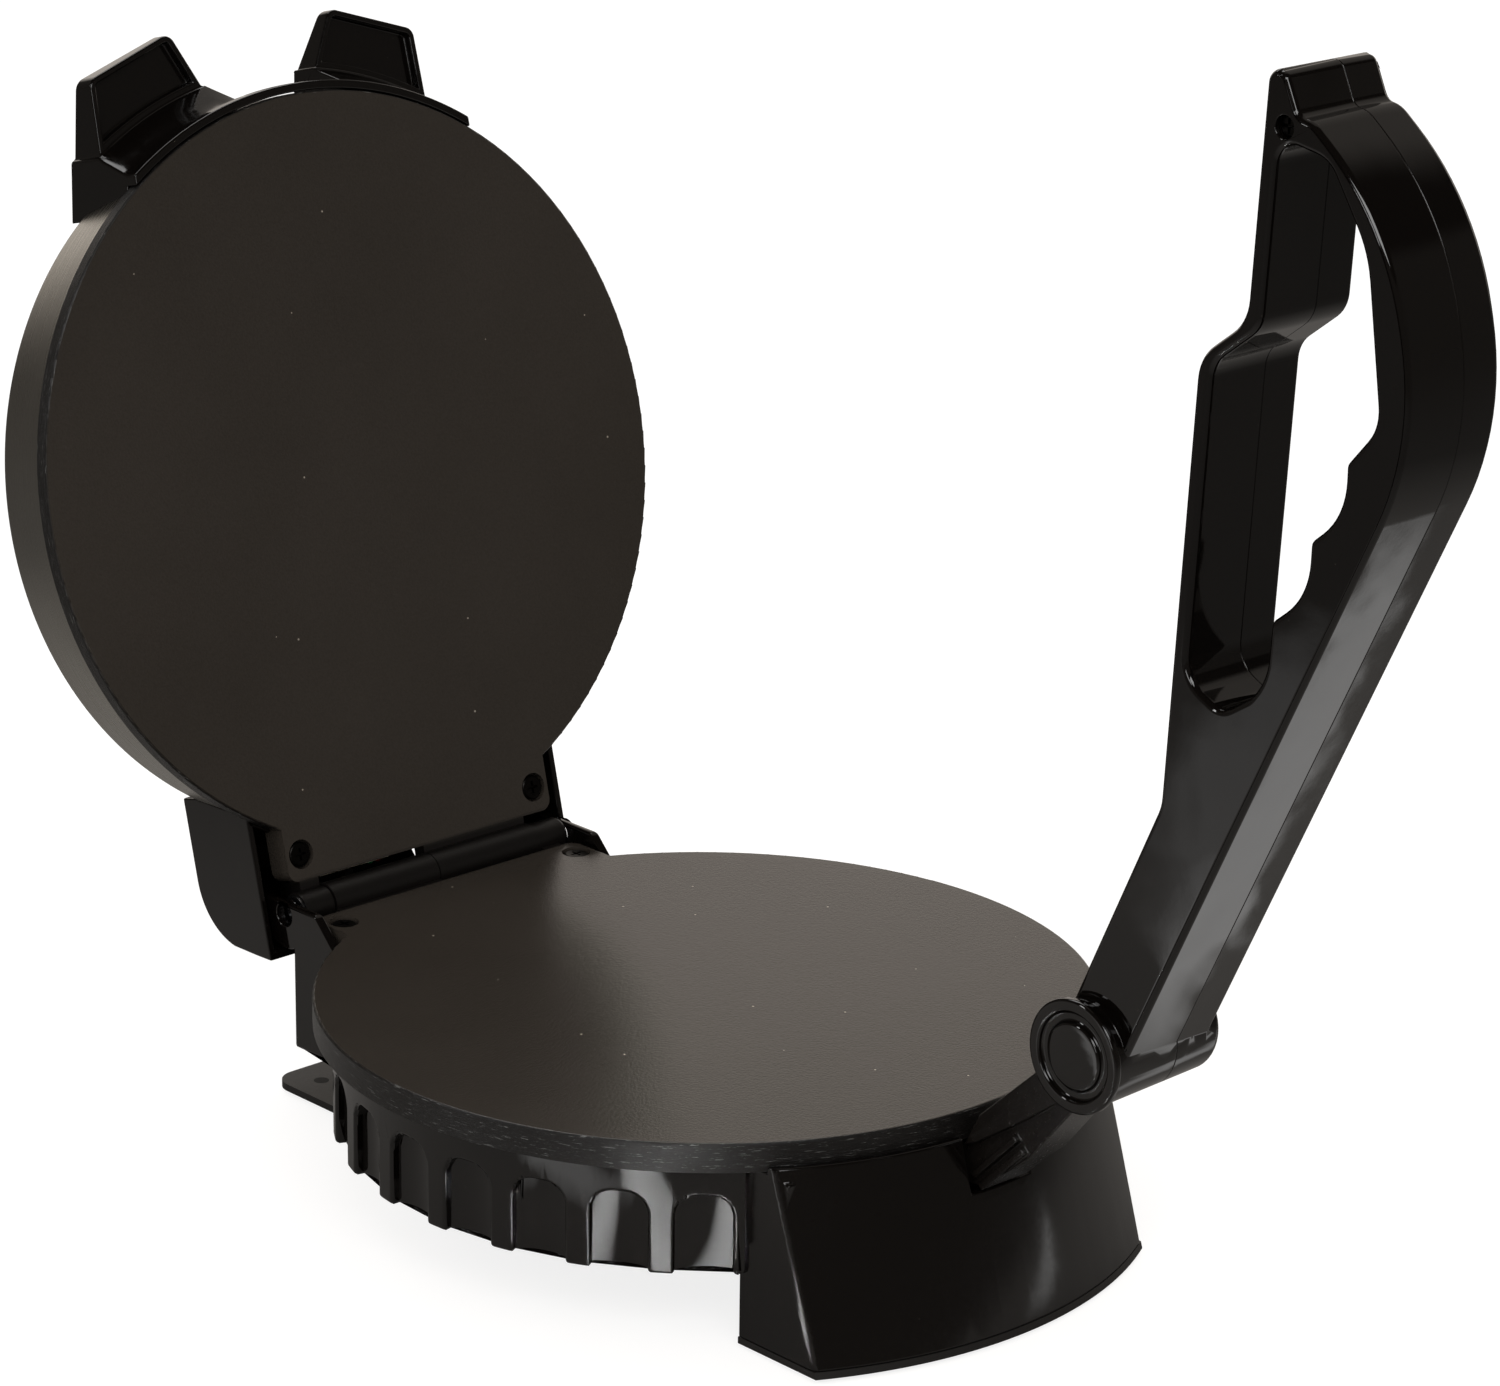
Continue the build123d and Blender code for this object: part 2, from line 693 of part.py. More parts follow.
def lever_bracket():
    """Arm from the front housing up to the lever's pivot, with ribs on both sides."""
    face = plate_face_height
    seat = bracket_seat()
    core = [
        (85.9, seat), (85.9, seat + 6), (72.4, face - 14), (56.5, face - 10.8), (52.6, face - 3),
        (49.9, face + 1.6), (29.4, face + 20.6), (13.4, face + 36), (4.4, face + 28), (13.4, face + 14),
        (31.4, face - 8), (50.8, face - 23.6), (56.4, face - 23.9), (60.4, face - 30), (70.4, seat),
    ]
    core = [(pivot_y + y, z) for y, z in core]
    flange = [
        (56.5, face - 10.8), (52.6, face - 3), (49.9, face + 1.6), (29.4, face + 20.6),
        (18.6, face + 30.6), (17.0, face + 28.0), (16.4, face + 17), (31.2, face + 5.7),
        (51.8, face - 8.5),
    ]
    flange = [(pivot_y + y, z) for y, z in flange]
    arm = side_profile(core, -bracket_core_half_width, bracket_core_half_width)
    arm += side_profile(flange, -bracket_flange_half_width, bracket_flange_half_width)
    foot_half = bracket_foot_half_width
    foot = block(-foot_half, foot_half, pivot_y + 70.4, pivot_y + 85.9, seat, seat + 4)
    arm += foot
    rib_angle = atan2(17.5, -17.2)
    for shift in (0.0, 4.4):
        start = (pivot_y + 53.1 - shift * 0.7, face - 19.9 - shift * 0.7)
        end = (start[0] + 25 * cos(rib_angle), start[1] + 25 * sin(rib_angle))
        nx = -sin(rib_angle) * bracket_rib_width / 2
        ny = cos(rib_angle) * bracket_rib_width / 2
        rib = [(start[0] + nx, start[1] + ny), (end[0] + nx, end[1] + ny),
               (end[0] - nx, end[1] - ny), (start[0] - nx, start[1] - ny)]
        arm += side_profile(rib, -bracket_rib_half_width, bracket_rib_half_width)
    swing = rod_x(pivot_y, pivot_height, -40, 40, knuckle_clear_radius)
    swing -= block(-bracket_core_half_width, bracket_core_half_width, -260, -100, 0, 200)
    arm -= swing
    arm += rod_x(pivot_y, pivot_height, -bracket_core_half_width, bracket_core_half_width, boss_radius)
    arm -= rod_x(pivot_y, pivot_height, -40, 40, bush_radius + bush_clearance)
    for x in (-bracket_screw_x, bracket_screw_x):
        arm -= rod(x, bracket_screw_y, 0, 100, small_screw_radius + screw_hole_clearance)
    return arm


def bracket_screws():
    """Screws that hold the bracket's foot to the posts of the front housing."""
    screw = phillips_screw(small_screw_radius, 14, small_head_radius, small_head_height)
    top = bracket_seat() + 4 + small_head_height
    return joined([Pos(x, bracket_screw_y, top) * screw for x in (-bracket_screw_x, bracket_screw_x)])


def pivot_bush():
    """Plain bush pressed into the boss of the bracket."""
    bush = rod_x(pivot_y, pivot_height, -bracket_core_half_width, bracket_core_half_width, bush_radius)
    return bush - rod_x(pivot_y, pivot_height, -40, 40, pivot_pin_radius + running_clearance)


def pivot_pin():
    """Steel pin through the barrel and the bracket."""
    return rod_x(pivot_y, pivot_height, barrel_left + 0.4, barrel_right - barrel_end - 0.4, pivot_pin_radius)


def rounded_face(corners):
    """Flat face over a closed outline of (x, y, corner radius) values."""
    points = [(x, y) for x, y, r in corners]
    radii = [r for x, y, r in corners]
    return make_face(FilletPolyline(*points, radius=radii, close=True))


def lever_outline():
    """Side view of the lever in (u, w): u runs from the pivot to the tip, w outwards from the lid."""
    upper = bar_inner + bar_step
    return rounded_face([
        (0, 14.2, 1), (215, 101.5, 80), (272.5, 83.4, 84), (293.0, 54.2, 9), (293.6, 49.2, 3.6),
        (lever_tip, upper + 6.6, 3.2), (lever_tip, upper, 4.2), (bar_heel + bar_heel_rise, upper, 14),
        (bar_heel, bar_inner, 14),
        (bar_start, bar_inner, 14), (0, -12.4, 1),
    ])


def finger_hole():
    """D-shaped opening of the lever, with its finger grips on the outer side."""
    near = bar_inner + bar_thickness
    upper = near + bar_step
    return rounded_face([
        (125.5, near, 10), (bar_heel - 1, near, 10), (bar_heel + bar_heel_rise - 1, upper, 10), (285.8, upper, 7),
        (283.8, near + 34.4, 10), (262, near + 50.4, 36), (216, near + 60.1, 13), (203, near + 50.4, 2.6),
        (188.2, near + 51.2, 22), (178, near + 40.5, 2.6), (162.1, near + 41, 22), (151.4, near + 29.3, 2.6),
        (134.5, near + 29.3, 20), (127, near + 24, 10),
        (119.8, near + 14, 7),
    ])


def lever_half(side):
    """One moulding of the lever, from the seam to its own side face. side is -1 for left, 1 for right."""
    outline = lever_outline()
    hole = finger_hole()
    if side < 0:
        x0, x1 = -lever_half_width, lever_seam_x
        pocket_x0, pocket_x1 = x0 + lever_wall, x1
        barrel_x0, barrel_x1 = barrel_left, lever_seam_x
    else:
        x0, x1 = lever_seam_x, lever_half_width
        pocket_x0, pocket_x1 = x0, x1 - lever_wall
        barrel_x0, barrel_x1 = lever_seam_x, barrel_right
    outer_face = 0 if side < 0 else -1
    blade = extrude(lever_plane.offset(x0) * outline, x1 - x0)
    blade = fillet(blade.faces().sort_by(Axis.X)[outer_face].edges(), lever_edge_round)
    field = Pos(160, 40) * Rectangle(480, 300) - hole
    window = extrude(lever_plane.offset(x0) * field, x1 - x0)
    rim = window.faces().sort_by(Axis.X)[outer_face].inner_wires()[0]
    blade = blade & fillet(rim.edges(), lever_edge_round)
    pocket = offset(outline, -lever_wall) - offset(hole, lever_wall)
    hollow = extrude(lever_plane.offset(pocket_x0) * pocket, pocket_x1 - pocket_x0)
    for side, y, z in lever_screw_places():
        hollow -= rod_x(y, z, x0, x1, lever_post_radius)
    hollow -= rod_x(pivot_y, pivot_height, x0, x1, barrel_radius + lever_wall)
    blade = blade - hollow
    barrel = barrel_body() & block(barrel_x0, barrel_x1, -260, -100, 0, 400)
    half = blade - rod_x(pivot_y, pivot_height, -60, 60, barrel_end_radius - 1) + barrel
    half -= rod_x(pivot_y, pivot_height, -slot_half_width, slot_half_width, boss_radius + boss_clearance)
    half -= bracket_slot()
    half -= rod_x(pivot_y, pivot_height, -60, barrel_right - barrel_end, pivot_pin_radius + running_clearance)
    stub_end = barrel_left + cap_stub_length
    half -= rod_x(pivot_y, pivot_height, -60, stub_end, cap_stub_radius + running_clearance)
    for side, y, z in lever_screw_places():
        ends = sorted((side * lever_screw_seat, side * (lever_half_width + 1)))
        half -= rod_x(y, z, ends[0], ends[1], lever_screw_head_radius + 0.3)
        ends = sorted((side * lever_half_width, side * (4 - lever_half_width)))
        half -= rod_x(y, z, ends[0], ends[1], lever_screw_radius + pilot_clearance)
    return half


def lever_screw_places():
    """Screws that hold the two halves, as (side of the head, y, z)."""
    places = []
    for side, u, w in ((-1, 289.5, 44.6), (1, 108.0, 40.5), (1, 54.0, 22.0)):
        y = pivot_y + u * cos(lever_angle) - w * sin(lever_angle)
        z = pivot_height + u * sin(lever_angle) + w * cos(lever_angle)
        places.append((side, y, z))
    return places


def lever_screws():
    """Screws through the two halves: the tip's from the left, the two others from the right."""
    length = lever_half_width - 5 + lever_screw_seat
    screw = phillips_screw(lever_screw_radius, length, lever_screw_head_radius, lever_screw_head_height)
    top = lever_screw_seat + lever_screw_head_height
    group = [Pos(side * top, y, z) * Rot(0, side * 90, 0) * screw for side, y, z in lever_screw_places()]
    return joined(group)


def barrel_body():
    """Barrel round the pivot, a little slimmer at its right end, before its bore and slot."""
    length = barrel_right - barrel_left
    middle = (barrel_left + barrel_right) / 2
    cone = Pos(middle, pivot_y, pivot_height) * Rot(0, 90, 0) * Cone(barrel_radius, barrel_end_radius, length)
    return fillet(cone.edges().group_by(Axis.X)[-1], barrel_round)


def bracket_slot():
    """Room that the bracket's arm sweeps inside the barrel when the lever swings."""
    points = [(0, 0)]
    steps = 12
    for k in range(steps + 1):
        a = radians(slot_start_angle + (slot_end_angle - slot_start_angle) * k / steps)
        points.append((slot_reach * cos(a), slot_reach * sin(a)))
    face = make_face(Polyline(*points, close=True))
    return extrude(lever_plane.offset(-slot_half_width) * face, 2 * slot_half_width)


def pivot_cap():
    """Round cap on the left end of the barrel: a rim, a groove and a raised button."""
    x1 = barrel_left - cap_gap
    x0 = x1 - cap_thickness
    cap = rod_x(pivot_y, pivot_height, x0, x1, cap_radius)
    cap = fillet(cap.edges().group_by(Axis.X)[0], 1.0)
    groove = rod_x(pivot_y, pivot_height, x0 - 1, x0 + cap_groove_depth, cap_radius - cap_ring_width)
    groove -= rod_x(pivot_y, pivot_height, x0 - 2, x0 + 3, cap_button_radius)
    cap -= groove
    cap += rod_x(pivot_y, pivot_height, x1, barrel_left + cap_stub_length, cap_stub_radius)
    cap -= rod_x(pivot_y, pivot_height, barrel_left - 0.1, 10, pivot_pin_radius + running_clearance)
    return cap


def cover_outline(grow):
    """Section of the lid cover in (radius, height), grown outwards."""
    slope = atan2(cover_rim_radius - cover_top_radius, cover_side_height - upper_rim_height)
    rim = cover_rim_radius + grow / cos(slope)
    top = cover_top_radius + grow / cos(slope)
    low = upper_rim_height + 0.2
    corner_r = top - 3.0
    corner_h = cover_side_height + grow
    outer = [(rim, low), (top, corner_h - 3.0), (top - 0.9, corner_h - 0.9), (corner_r, corner_h)]
    outer += [(corner_r * 0.66, corner_h + 1.9), (corner_r * 0.33, cover_dome_height + grow - 0.4)]
    outer += [(0, cover_dome_height + grow)]
    return outer


def cover_solid(grow):
    """The whole space under the outer skin of the lid cover."""
    points = cover_outline(grow)
    low = points[0][1]
    return turned(points + [(0, low)])


def lid_cover():
    """Steel dish over the lid, open below, slotted for the tongue and the rear housing's window."""
    dish = cover_solid(0) - Pos(0, 0, -0.01) * cover_solid(-cover_sheet)
    slot = tongue_half_width + tongue_slot_clearance
    dish -= block(-slot, slot, 60, hinge_distance, 0, plate_thickness + tongue_slot_clearance)
    half = lead_window_half_width
    dish -= block(-half, half, rear_box_front, hinge_distance, lead_window_low, lead_window_top)
    for side in (-1, 1):
        dish -= clip_screw_tool(side, small_screw_radius + screw_hole_clearance)
    return dish


def clip_screw_tool(side, radius):
    """Radial hole for a clip screw through the side of the cover."""
    angle = -90 + side * clip_screw_angle
    tool = Pos(plate_radius - 7, 0, clip_screw_height) * Rot(0, 90, 0) * Cylinder(radius, 20)
    return Rot(0, 0, angle) * tool


def clip_screws():
    """Screws that hold the front clip to the cover from the inside."""
    screw = phillips_screw(small_screw_radius, 7.6, small_head_radius, small_head_height)
    inner = cover_rim_radius - cover_sheet - 2.6
    group = []
    for side in (-1, 1):
        angle = -90 + side * clip_screw_angle
        place = Pos(inner - small_head_height, 0, clip_screw_height)
        group.append(Rot(0, 0, angle) * place * Rot(0, -90, 0) * screw)
    return joined(group)


def rear_box_outline(inset):
    """Side view of the lid's rear housing in (y, height), grown inwards by inset."""
    back = rear_box_back - inset
    top = rear_box_top - inset
    low = upper_rim_height + 0.3
    if inset > 0:
        low -= 5
    line = Polyline((60, low), (back, low), (back - 1.6, 13), (back - 4.4, 25))
    arc = ThreePointArc((back - 4.4, 25), (back - 12.6, top - 4.6), (back - 26.5, top))
    close_line = Polyline((back - 26.5, top), (60, top), (60, low))
    return make_face(line + arc + close_line)


def lid_rear_housing():
    """Black box behind the lid round the hinge, open towards the plates."""
    half = rear_box_half_width
    outer = extrude(x_plane.offset(-half) * rear_box_outline(0), 2 * half)
    outer -= block(-half - 1, half + 1, 0, rear_box_front, 0, 60)
    outer -= cover_solid(rear_box_fit)
    inner_half = half - rear_box_wall
    inner = extrude(x_plane.offset(-inner_half) * rear_box_outline(rear_box_wall), 2 * inner_half)
    inner -= rod(0, 0, -10, 60, cover_rim_radius + rear_box_wall)
    box = outer - inner
    slot = tongue_half_width + tongue_slot_clearance
    box -= block(-slot, slot, 60, hinge_distance - 0.7, -10, plate_thickness + tongue_slot_clearance)
    half = lead_window_half_width
    box -= block(-half, half, rear_box_front - 0.6, lid_block_front + 3, lead_window_low, lid_block_top)
    pad_x0 = lid_block_x - block_length / 2
    box += block(pad_x0, pad_x0 + block_length, lid_block_front + 1, lid_block_back - 1,
                 lid_block_top, rear_box_top - rear_box_wall + 0.5)
    for x in (-screw_x, screw_x):
        post = rod(x, screw_y, plate_thickness, rear_box_top - 1, post_radius)
        post -= rod(x, screw_y, 0, plate_thickness + screw_length, screw_shank_radius + pilot_clearance)
        post -= cover_solid(rear_box_fit)
        box += post
    vent = block(vent_x - vent_width / 2, vent_x + vent_width / 2,
                 vent_y - vent_depth / 2, vent_y + vent_depth / 2, 30, 60)
    box -= vent
    for x in (green_light_x, red_light_x):
        box -= rod(x, light_y, 25, 60, light_radius + running_clearance)
    return box


def indicator_light(x):
    """Small lens through the back of the rear housing, with a collar inside."""
    z = rear_box_top - 0.6
    lens = rod(x, light_y, z - light_length, z, light_radius)
    lens = fillet(lens.edges().group_by(Axis.Z)[-1], 0.7)
    low = z - light_length
    return lens + rod(x, light_y, low, low + light_collar_height, light_collar_radius)


def horn_top(y):
    """Height of the horn's upper side above the lid's cooking face."""
    return horn_tip_height + horn_slope * (y - horn_tip_inner_y)


def lid_front_clip():
    """Moulded band on the front edge of the lid with the two lifting horns and their finger recesses."""
    inner = plate_radius + clip_rim_clearance
    low = 0.3
    high = clip_band_height
    band = turned([(inner, low), (clip_band_outer, low), (clip_band_outer, high), (inner, high)])
    root_inner = plate_radius - 8
    top = rear_box_top + 2
    root = turned([
        (root_inner, high), (clip_band_outer, high), (horn_face_radius, horn_face_height),
        (horn_face_radius, top), (root_inner, top),
    ])
    root &= block(-clip_half_width, clip_half_width, -200, 31 - plate_radius, 0, 60)
    root -= block(-horn_base_inner_x, horn_base_inner_x, -200, 0, 0, 60)
    horns = []
    for side in (-1, 1):
        plan = Polyline(
            (side * horn_base_inner_x, 9 - plate_radius), (side * horn_base_inner_x, -4 - plate_radius),
            (side * horn_tip_inner_x, horn_tip_inner_y), (side * horn_tip_outer_x, horn_tip_outer_y),
            (side * (horn_tip_outer_x + 0.8), 10 - plate_radius), (side * clip_half_width, 23 - plate_radius),
            close=True,
        )
        face = make_face(plan)
        tips = face.vertices().sort_by(Axis.Y)[0:2]
        face = fillet(tips, horn_corner)
        horn = extrude(Pos(0, 0, horn_face_height) * face, top - horn_face_height)
        recess = offset(face, -horn_rim, kind=Kind.INTERSECTION)
        cut = extrude(Pos(0, 0, horn_face_height - 1) * recess, 1 + horn_recess_depth)
        cut -= rod(0, 0, 0, 60, horn_recess_radius)
        horns.append((horn, cut))
    body = root
    for horn, cut in horns:
        body = body + horn - cut
    slope_cut = side_profile(
        [(-200, horn_top(-200)), (-90, horn_top(-90)), (-90, 90), (-200, 90)], -100, 100
    )
    body -= slope_cut
    body -= cover_solid(rear_box_fit)
    body -= rod(0, 0, -1, upper_rim_height + 1, plate_radius + clip_rim_clearance)
    band &= block(-clip_half_width, clip_half_width, -200, -60, -1, 60)
    body += band
    for side in (-1, 1):
        tool = clip_screw_tool(side, small_screw_radius + pilot_clearance)
        body -= tool & rod(0, 0, 0, 60, plate_radius + 5)
    return body


def terminal_places():
    """Places of the element's two terminals, left first."""
    places = []
    for side in (1, -1):
        a = radians(90 + side * (360 - element_arc) / 2)
        places.append((element_ring_radius * cos(a), element_ring_radius * sin(a)))
    return places


def heating_element():
    """Tubular element half sunk in the back of a plate whose face is at Z = 0, with two terminals."""
    z = -plate_thickness - element_centre_drop
    ring = Pos(0, 0, z) * Rot(0, 0, 90 + (360 - element_arc) / 2) * Torus(
        element_ring_radius, element_radius, major_angle=element_arc)
    for x, y in terminal_places():
        ring += rod(x, y, z - terminal_length, z, terminal_radius)
    return ring


def heat_shield():
    """Thin dished sheet behind the element, with a middle hole and two terminal holes."""
    z = -plate_thickness - shield_drop
    rim = shield_radius
    floor = rim - shield_flank
    pan = turned([(0, z), (floor, z), (rim, z + shield_dish), (rim + 1, z + shield_dish),
                  (floor + 0.6, z - shield_thickness), (0, z - shield_thickness)])
    pan -= rod(0, 0, z - 5, z + 5, shield_hole_radius)
    for x, y in terminal_places():
        pan -= rod(x, y, z - 20, z + 20, terminal_hole_radius)
    return pan


def thermostat():
    """Round bimetal thermostat pressed to the back of the plate, with two tabs."""
    z = -plate_thickness
    body = rod(0, 0, z - thermostat_height, z, thermostat_radius)
    body = fillet(body.edges().group_by(Axis.Z)[0], 1.0)
    for x in (-5.0, 5.0):
        low = z - thermostat_height - thermostat_tab_height
        half = thermostat_tab_width / 2
        body += block(x - 0.4, x + 0.4, -half, half, low, z - thermostat_height)
    return body


def thermal_fuse():
    """One-shot fuse on the heat shield, with its two lead stubs."""
    z = -plate_thickness - shield_drop - shield_thickness - fuse_radius - 0.1
    fuse = rod_y(fuse_x, z, -fuse_length / 2, fuse_length / 2, fuse_radius)
    return fuse + rod_y(fuse_x, z, -fuse_length, fuse_length, 0.7)


def terminal_block():
    """Ceramic terminal block on the base cover, with three wire ways."""
    z0 = cover_top_face
    body = block(-block_length / 2, block_length / 2, block_y - block_width / 2, block_y + block_width / 2,
                 z0, z0 + block_height)
    for k in (-1, 0, 1):
        x = k * block_length / 3.2
        body -= rod_y(x, z0 + block_height / 2, block_y - 40, block_y + 40, 2.2)
        body -= rod(x, block_y, z0 + block_height / 2, z0 + 2 * block_height, 2.0)
    return body


def wire(points, radius):
    """Round lead along straight runs joined by arcs."""
    radii = []
    for k in range(1, len(points) - 1):
        a = Vector(*points[k]) - Vector(*points[k - 1])
        b = Vector(*points[k + 1]) - Vector(*points[k])
        turn = radians(a.get_angle(b))
        run = min(a.length, b.length)
        radii.append(0.45 * run / max(sin(turn / 2) / cos(turn / 2), 0.05))
    path = FilletPolyline(*points, radius=radii)
    start = Plane(origin=path @ 0, z_dir=path % 0)
    return sweep(start * Circle(radius), path)


def base_leads():
    """Insulated leads from the terminal block to the element and the thermostat."""
    z = plate_bottom - element_centre_drop - terminal_length
    tx, ty = terminal_places()[0]
    zb = cover_top_face + block_height / 2
    step = block_length / 3.2
    front = block_y - block_width / 2
    ts = plate_bottom - thermostat_height - thermostat_tab_height
    left = [(tx, ty, z - lead_gap), (tx, ty, z - 4), (tx, ty - 2, zb + 2), (tx + 14, front - 16, zb)]
    left += [(-step, front - 9, zb + 1), (-step, front, zb)]
    right = [(-x, y, height) for x, y, height in left]
    middle = [(5, 0, ts - lead_gap), (5, 0, ts - 3), (5, 8, ts - 7), (1, 30, zb + 1)]
    middle += [(0, front - 18, zb + 1), (0, front, zb)]
    return joined([wire(route, lead_radius) for route in (left, right, middle)])


def lid_lead():
    """Sleeved lead from the neck, under the hinge and round its sleeves, into the lid's rear housing."""
    x = lid_lead_x
    low = hinge_height - lid_lead_ring
    points = [
        (x, neck_back - 7.4, low - 13.8), (x, neck_back - 1.1, low - 0.4), (x, hinge_distance + 9.6, low),
        (x + 2, hinge_distance + 24.5, low + 1), (x + 4.4, hinge_distance + 28.3, low + 6.4),
    ]
    return wire(points, lid_lead_radius)


def hinge_pin():
    """Steel pin through the sleeves and knuckles of both castings."""
    pin = rod_x(hinge_distance, hinge_height, -pin_half_length, pin_half_length, hinge_pin_radius)
    for side in (-1, 1):
        x0 = side * (pin_half_length - pin_overhang + clip_gap)
        x1 = x0 + side * clip_thickness
        ring = rod_x(hinge_distance, hinge_height, min(x0, x1), max(x0, x1), hinge_pin_radius + 1)
        ring -= rod_x(hinge_distance, hinge_height, min(x0, x1), max(x0, x1), hinge_pin_radius - 0.5)
        pin -= ring
    return pin


def hinge_clips():
    """Retaining clips in the grooves at the ends of the hinge pin."""
    group = []
    for side in (-1, 1):
        x0 = side * (pin_half_length - pin_overhang + clip_gap + 0.1)
        x1 = x0 + side * (clip_thickness - 0.2)
        clip = rod_x(hinge_distance, hinge_height, min(x0, x1), max(x0, x1), clip_radius)
        clip -= rod_x(hinge_distance, hinge_height, min(x0, x1) - 1, max(x0, x1) + 1, hinge_pin_radius - 0.45)
        mouth = block(min(x0, x1) - 1, max(x0, x1) + 1, hinge_distance - 2.2, hinge_distance + 2.2,
                      hinge_height - 10, hinge_height)
        group.append(clip - mouth)
    return joined(group)


def lid_insulation():
    """Mineral wool ring between the upper heat shield and the steel cover."""
    z0 = plate_thickness + shield_drop + shield_thickness + 0.3
    ring = rod(0, 0, z0, z0 + insulation_thickness, insulation_radius)
    ring -= rod(0, 0, 0, 60, insulation_bore)
    for x, y in terminal_places():
        ring -= rod(x, y, 0, 60, terminal_hole_radius)
    return ring


def lid_terminal_block():
    """Ceramic terminal block under the roof of the lid's rear housing."""
    x0 = lid_block_x - block_length / 2
    body = block(x0, x0 + block_length, lid_block_front, lid_block_back, lid_block_low, lid_block_top)
    middle = (lid_block_low + lid_block_top) / 2
    for k in (-1, 0, 1):
        x = lid_block_x + k * block_length / 3.2
        body -= rod_y(x, middle, 100, 160, 2.2)
    return body


def lid_leads():
    """Insulated leads from the lid's terminal block to its element and thermostat."""
    middle = (lid_block_low + lid_block_top) / 2
    top = plate_thickness + element_centre_drop + terminal_length
    tab = plate_thickness + thermostat_height + thermostat_tab_height
    step = block_length / 3.2
    group = []
    for side, (x, y) in zip((-1, 1), terminal_places()):
        end = lid_block_x + side * step
        points = [(x, y, top + lead_gap), (x, y, top + 3), (x, y + 6, middle), (x * 0.72, y + 16, middle)]
        points += [(end, lid_block_front - 14.5, middle), (end, lid_block_front, middle)]
        group.append(wire(points, lead_radius))
    points = [(-5, 0, tab + lead_gap), (-5, 0, tab + 4), (-7, 12, middle + 3), (-12, 50, middle)]
    points += [(lid_block_x, lid_block_front - 18.5, middle), (lid_block_x, lid_block_front, middle)]
    group.append(wire(points, lead_radius))
    return joined(group)


os.makedirs("parts", exist_ok=True)
lift = Pos(0, 0, plate_face_height)
nodes = {
    "lower_plate": drilled_lower_plate(),
    "lower_plate_screws": lift * plate_screws(),
    "base_shell": base_shell(),
    "cord_gland": cord_gland(),
    "base_cover": base_cover(),
    "base_cover_screws": cover_screws(),
    "front_housing": front_housing(),
    "housing_screws": housing_screws(),
    "front_housing_cover": foot_cover(),
    "front_cover_screws": foot_cover_screws(),
    "front_feet": front_feet(),
    "rear_stand": rear_stand(),
    "rear_column": rear_column(),
    "rear_stand_screws": stand_screws(),
    "rear_feet": rear_feet(),
    "lever_bracket": lever_bracket(),
    "bracket_screws": bracket_screws(),
    "pivot_bush": pivot_bush(),
    "pivot_pin": pivot_pin(),
    "lower_heating_element": lift * heating_element(),
    "lower_heat_shield": lift * heat_shield(),
    "lower_thermostat": lift * thermostat(),
    "lower_thermal_fuse": lift * thermal_fuse(),
    "terminal_block": terminal_block(),
    "base_leads": base_leads(),
    "lid_lead": lid_lead(),
    "hinge_pin": hinge_pin(),
    "hinge_clips": hinge_clips(),
    "upper_plate": opened(over(lift * plate_casting(upper_rim_step))),
    "upper_plate_screws": opened(over(lift * plate_screws())),
    "upper_heating_element": opened(over(lift * heating_element())),
    "upper_heat_shield": opened(over(lift * heat_shield())),
    "upper_thermostat": opened(over(lift * thermostat())),
    "upper_thermal_fuse": opened(over(lift * thermal_fuse())),
    "lid_insulation": in_lid(lid_insulation()),
    "lid_terminal_block": in_lid(lid_terminal_block()),
    "lid_leads": in_lid(lid_leads()),
    "lid_cover": in_lid(lid_cover()),
    "lid_rear_housing": in_lid(lid_rear_housing()),
    "lid_front_clip": in_lid(lid_front_clip()),
    "clip_screws": in_lid(clip_screws()),
    "green_light": in_lid(indicator_light(green_light_x)),
    "red_light": in_lid(indicator_light(red_light_x)),
    "lever_left_half": lever_half(-1),
    "lever_right_half": lever_half(1),
    "lever_screws": lever_screws(),
    "pivot_cap": pivot_cap(),
}

low_y = min(shape.bounding_box().min.Y for shape in nodes.values())
high_y = max(shape.bounding_box().max.Y for shape in nodes.values())
centring = Pos(0, -(low_y + high_y) / 2, 0)
print("plate centre is at Y", round(-(low_y + high_y) / 2, 4))
for name, shape in nodes.items():
    export_step(centring * shape, f"parts/{name}.step")
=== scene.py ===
from math import cos, pi, radians, sin
import bpy
from mathutils import Matrix, Vector


